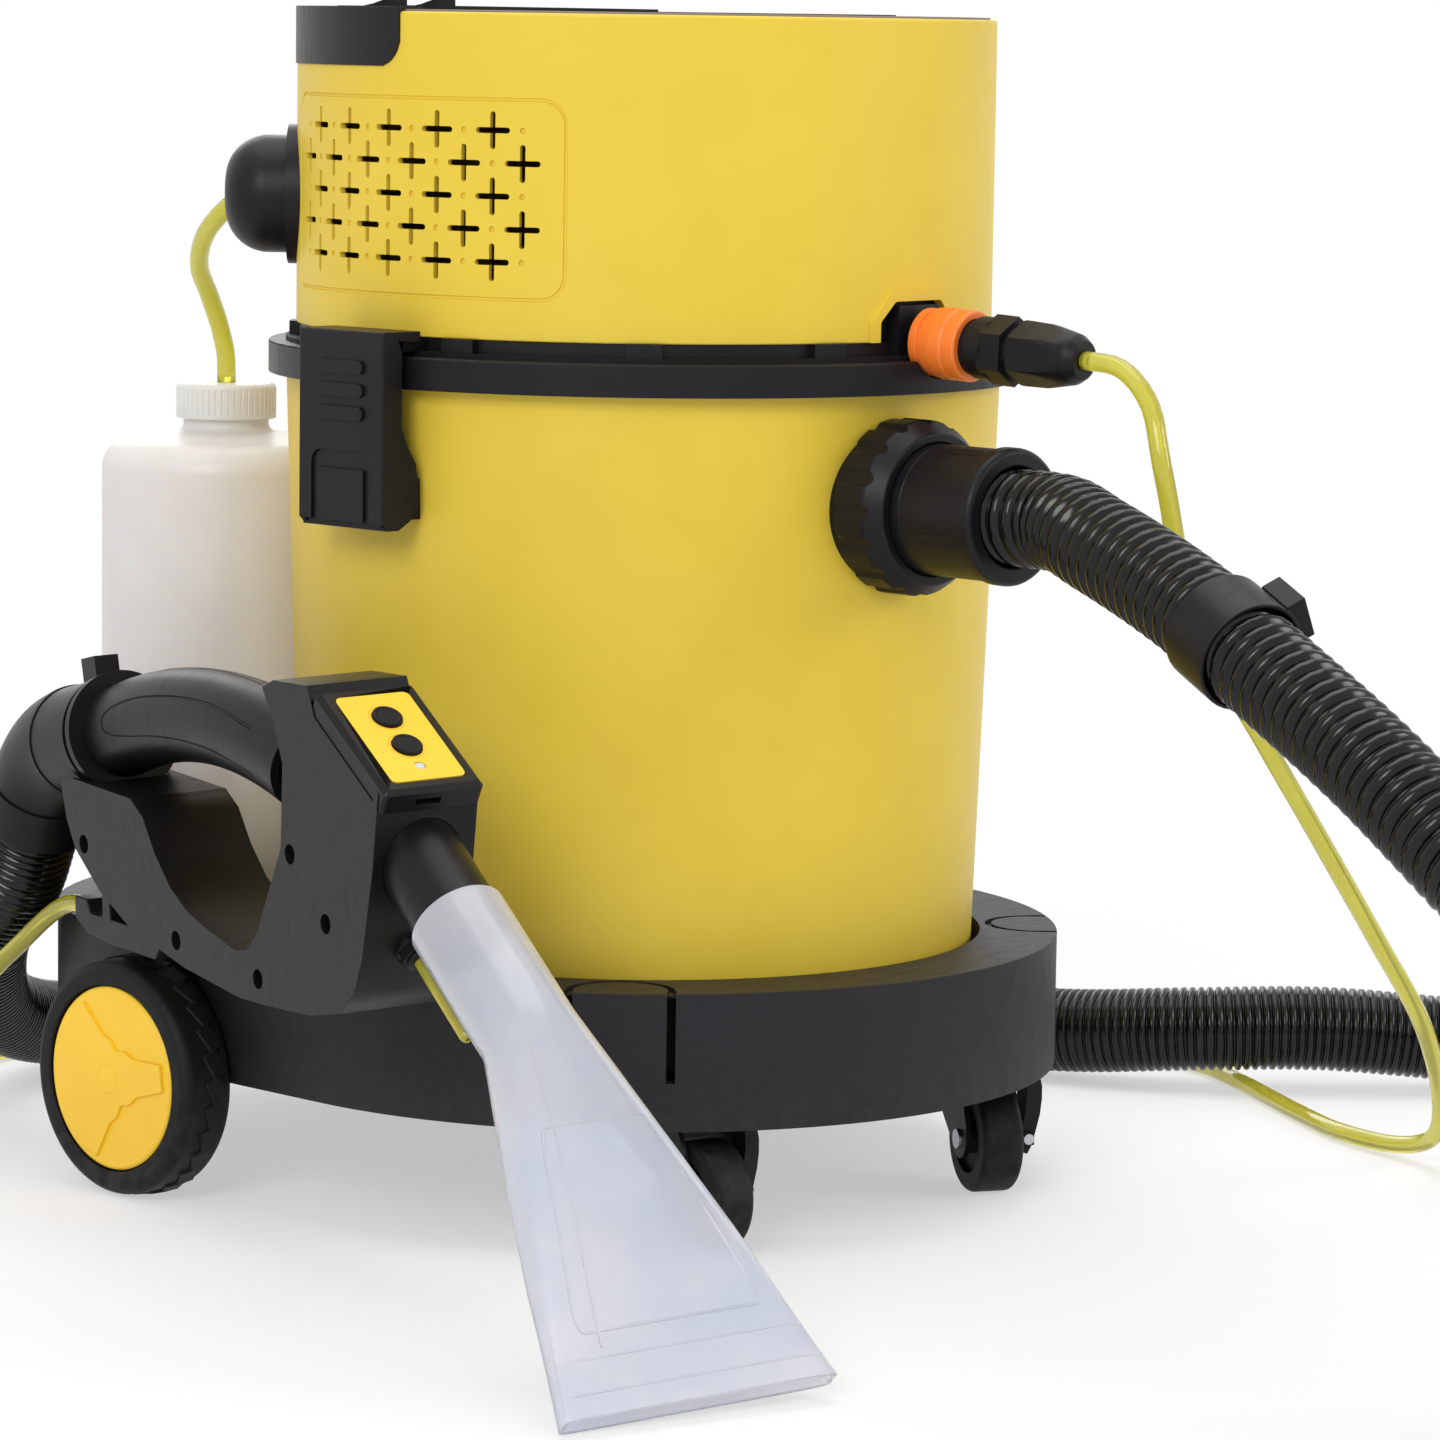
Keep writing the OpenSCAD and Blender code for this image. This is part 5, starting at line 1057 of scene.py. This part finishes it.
def key_outline(side, end, corner):
    """The keypad's outline, grown by a gap at its sides and a gap at its ends."""
    x, low, high = 0.0175 + side, 0.006 - end, 0.063 + end
    return rounded([(-x, low), (x, low), (x, high), (-x, high)], corner)


def mould_pod():
    x = POD_W / 2
    body = slab(rounded([(-x, 0), (x, 0), (x, POD_L), (-x, POD_L)], 0.002), POD_T, shift(0, 0, -POD_T))
    round_edges(body, lambda a, b: a.z > -1e-4 and b.z > -1e-4, 0.0035, 1)
    shape_with(body, slab(key_outline(0.0003, 0.0005, 0.003), 0.004, shift(0, 0, -KEY_SINK)))
    for y in BUTTON_YS:
        shape_with(body, slab(circle(WELL_R, 48, 0, y), 0.01, shift(0, 0, -0.006)))
    shape_with(body, slab(block(0.012, 0.006), 0.003, shift(0.002, POD_L, -0.008)))
    soften(body, 0.0004, 2, 35)
    hand_over(put(body, on_pod()), "control_pod_moulding", "machine", TOOL_BLACK, "control_pod")


def mould_keypad():
    film = slab(key_outline(0, 0, 0.0028), 0.0017, shift(0, 0, -KEY_SINK))
    for y in BUTTON_YS:
        shape_with(film, slab(circle(WELL_R, 48, 0, y), 0.01, shift(0, 0, -0.006)))
        shape_with(film, bead(lifted(circle(0.0078, 48, 0, y), 0.0003), 0.00025, closed=True))
    shape_with(film, slab(circle(0.0025, 32, 0, LENS_Y), 0.01, shift(0, 0, -0.006)))
    hand_over(put(film, on_pod()), "keypad_film", "machine", HUB_YELLOW, "keypad")
    outline = [(0, 0), (0.0024, 0), (0.0024, 0.0012), (0.0014, 0.0018), (0, 0.0019)]
    lens = turned(rounded(outline, [0, 0, 0.0003, 0.001, 0]), on_pod(0, LENS_Y, -KEY_SINK), 32)
    hand_over(lens, "keypad_lens", "machine", BOTTLE)
    outline = [(0, 0), (0.0065, 0), (0.0065, 0.0064), (0.0056, 0.0068), (0.0045, 0.0062), (0.0030, 0.0066),
               (0, 0.0067)]
    for name, y in zip(("spray_button", "suction_button"), BUTTON_YS):
        dome = turned(rounded(outline, [0, 0, 0.0005, 0.0003, 0.001, 0.001, 0]), on_pod(0, y, -0.0047), 64)
        hand_over(dome, name + "_dome", name + "_cap", SOFT_BLACK, name)


def flare_power(share):
    """How square the nozzle's section is: 1 is round."""
    return max(0.24, min(1, 1 - 1.2 * share))


def nozzle_ring(share, inset, sides=64):
    """One ring of the nozzle's flare in the tool's frame, from the round socket at 0 to the flat lip at 1."""
    dip, power = radians(NECK_DIP), flare_power(share)
    start = (SOCKET_START[0] - SOCKET_L * cos(dip), SOCKET_START[1] - SOCKET_L * sin(dip))
    lean = dip + (atan2(start[1], start[0]) - dip) * min(1, 3 * share)
    wide = SOCKET_R - inset + (LIP_W / 2 - SOCKET_R) * share
    thick = SOCKET_R - inset + (LIP_T / 2 - SOCKET_R) * (3 * share ** 2 - 2 * share ** 3)
    ring = []
    for turn in (2 * pi * k / sides for k in range(sides)):
        c, s = cos(turn), sin(turn)
        up = thick * copysign(abs(s) ** power, s)
        ring.append((wide * copysign(abs(c) ** power, c), start[0] * (1 - share) - sin(lean) * up,
                     start[1] * (1 - share) + cos(lean) * up))
    return ring


def nozzle_top(share, across):
    """A point on the nozzle's upper skin, a fraction of the way out to either side."""
    power = flare_power(share)
    (wide, *_), top, _, low = nozzle_ring(share, 0.0001, 4)
    up = sqrt(1 - abs(across) ** (2 / power)) ** power
    return (across * wide, *((t + b) / 2 + (t - b) / 2 * up for t, b in zip(top[1:], low[1:])))


def nozzle_panel():
    """Raised line round the panel on the nozzle's upper skin."""
    corners = rounded([(-0.74, 0.30), (0.74, 0.30), (0.80, 0.80), (-0.80, 0.80)], [0.08, 0.08, 0.06, 0.06], 5)
    line = []
    for (u, s), (v, w) in zip(corners, corners[1:] + corners[:1]):
        steps = max(1, round(hypot((v - u) * 0.05, (w - s) * 0.17) / 0.004))
        line += [nozzle_top(s + (w - s) * k / steps, u + (v - u) * k / steps) for k in range(steps)]
    return bead(line, 0.0007, closed=True)


def nozzle_step(share, half):
    """Raised line across the nozzle's upper skin."""
    return bead([nozzle_top(share, u) for u in np.linspace(-half, half, 25)], 0.0006)


def socket_ring(s, r, sides=64):
    """A round ring of the nozzle's socket, s along it from the neck."""
    dip = radians(NECK_DIP)
    y, z = SOCKET_START[0] - s * cos(dip), SOCKET_START[1] - s * sin(dip)
    turns = (2 * pi * k / sides for k in range(sides))
    return [(r * cos(a), y - sin(dip) * r * sin(a), z + cos(dip) * r * sin(a)) for a in turns]


def mould_nozzle():
    outer = [socket_ring(s, SOCKET_R) for s in (0, 0.001, 0.012, 0.024, 0.036, 0.048, 0.060)]
    outer += [nozzle_ring(share, 0) for share in np.linspace(0, 1, 26)]
    inner = [nozzle_ring(share, NOZZLE_WALL) for share in np.linspace(1, 0, 26)]
    inner += [socket_ring(s, SOCKET_R - NOZZLE_WALL) for s in (0.060, 0.040, 0.020, 0)]
    skin = lofted(outer + inner, closed=False)
    choose(skin, "EDGE", lambda edge: edge.is_boundary)
    bpy.ops.mesh.bridge_edge_loops()
    close_edit(skin)
    mend(skin)
    ridge = [nozzle_top(share, -0.52 - 0.12 * share) for share in np.linspace(0.06, 0.84, 40)]
    for line in (nozzle_panel(), nozzle_step(0.862, 0.985), nozzle_step(0.944, 0.99), bead(ridge, 0.0008)):
        shape_with(skin, line, "UNION")
    put(skin, TOOL)
    hand_over(skin, "clear_flared_nozzle", "machine", CLEAR, "nozzle", angle=40)


def loose_parts(piece):
    """Splits a piece into the parts that hang together."""
    hold(piece)
    bpy.ops.mesh.separate(type="LOOSE")
    return list(bpy.context.selected_objects)


def middle_of(piece):
    corners = [Vector(corner) for corner in piece.bound_box]
    return sum(corners, Vector()) / 8


def mould_fittings():
    """Bracket, spray nut, spray jet and the shells' screws."""
    spray = Vector(in_tool(0, *SPRAY_PLACE))
    bracket, screws = [], []
    for part in sorted(loose_parts(recast("tool_fittings")), key=lambda part: part.dimensions.length):
        middle, size = middle_of(part), part.dimensions.length
        if size < 0.032:
            screws.append(part)
        elif size > 0.04 and middle.z > 0.1 and (middle - spray).length > 0.15:
            bracket.append(part)
        else:
            discard(part)
    hand_over(soften(join(bracket), 0.0008, 3, 40), "tube_bracket_moulding", "machine", TOOL_BLACK,
              "tool_fittings")
    hand_over(soften(join(screws), 0.0003, 2, 40), "shell_screws", "machine", STEEL)
    place = along_tool(SPRAY_PLACE, 180 - NECK_DIP)
    nut = slab(hexagon(2 * SPRAY_NUT_R * cos(radians(30))), 0.006, shift(0, 0, 0.002))
    soften(nut, 0.0005, 2)
    outline = [(0, -0.004), (SPRAY_NUT_R, -0.004), (SPRAY_NUT_R, 0.0025), (0.0055, 0.0035), (0.0055, 0.009),
               (0.0046, 0.0100), (0, 0.0100)]
    shank = turned(rounded(outline, [0, 0.0005, 0.0004, 0, 0.0006, 0.0004, 0]), steps=48)
    shape_with(nut, shank, "UNION")
    hand_over(put(nut, place), "spray_nut", "machine", TOOL_BLACK)
    outline = [(0, 0.0085), (0.003, 0.0085), (0.003, 0.0535), (0.0022, 0.056), (0.0012, 0.056),
               (0.0012, 0.050), (0, 0.050)]
    jet = turned(rounded(outline, [0, 0, 0.0004, 0.0004, 0, 0, 0]), steps=40)
    hand_over(put(jet, place), "spray_jet", "machine", TUBE)


# ---- switches and intake ----

def mould_switches():
    for node in ("suction_switch", "pump_switch"):
        soften_node(node, node + "_rocker_cap", node + "_rocker", SOFT_BLACK, 0.0006, 2, 30)
    soften_node("intake_boss", "intake_boss_moulding", "machine", BLACK, 0.0008, 2, 40)


for mould in (hang_hoses, mould_head_shell, mould_head_trim, mould_latches, mould_inlet_nut, mould_cuff,
              mould_coupler, blow_bottle, mould_base, mould_wheels, mould_casters, mould_tool_shells,
              mould_grip, mould_elbow, mould_fittings, mould_pod, mould_keypad, mould_nozzle, mould_switches):
    mould()


# ---- finishes of the nodes ----

OWN_FINISH = {"base_tray": BASE_BLACK, "latch_pins": SOFT_BLACK}


def finish_nodes():
    for name, piece in nodes.items():
        for i, slot in enumerate(piece.material_slots):
            slot.material = OWN_FINISH.get(name) or FINISH.get(slot.material.name.split(".")[0], BLACK)


finish_nodes()
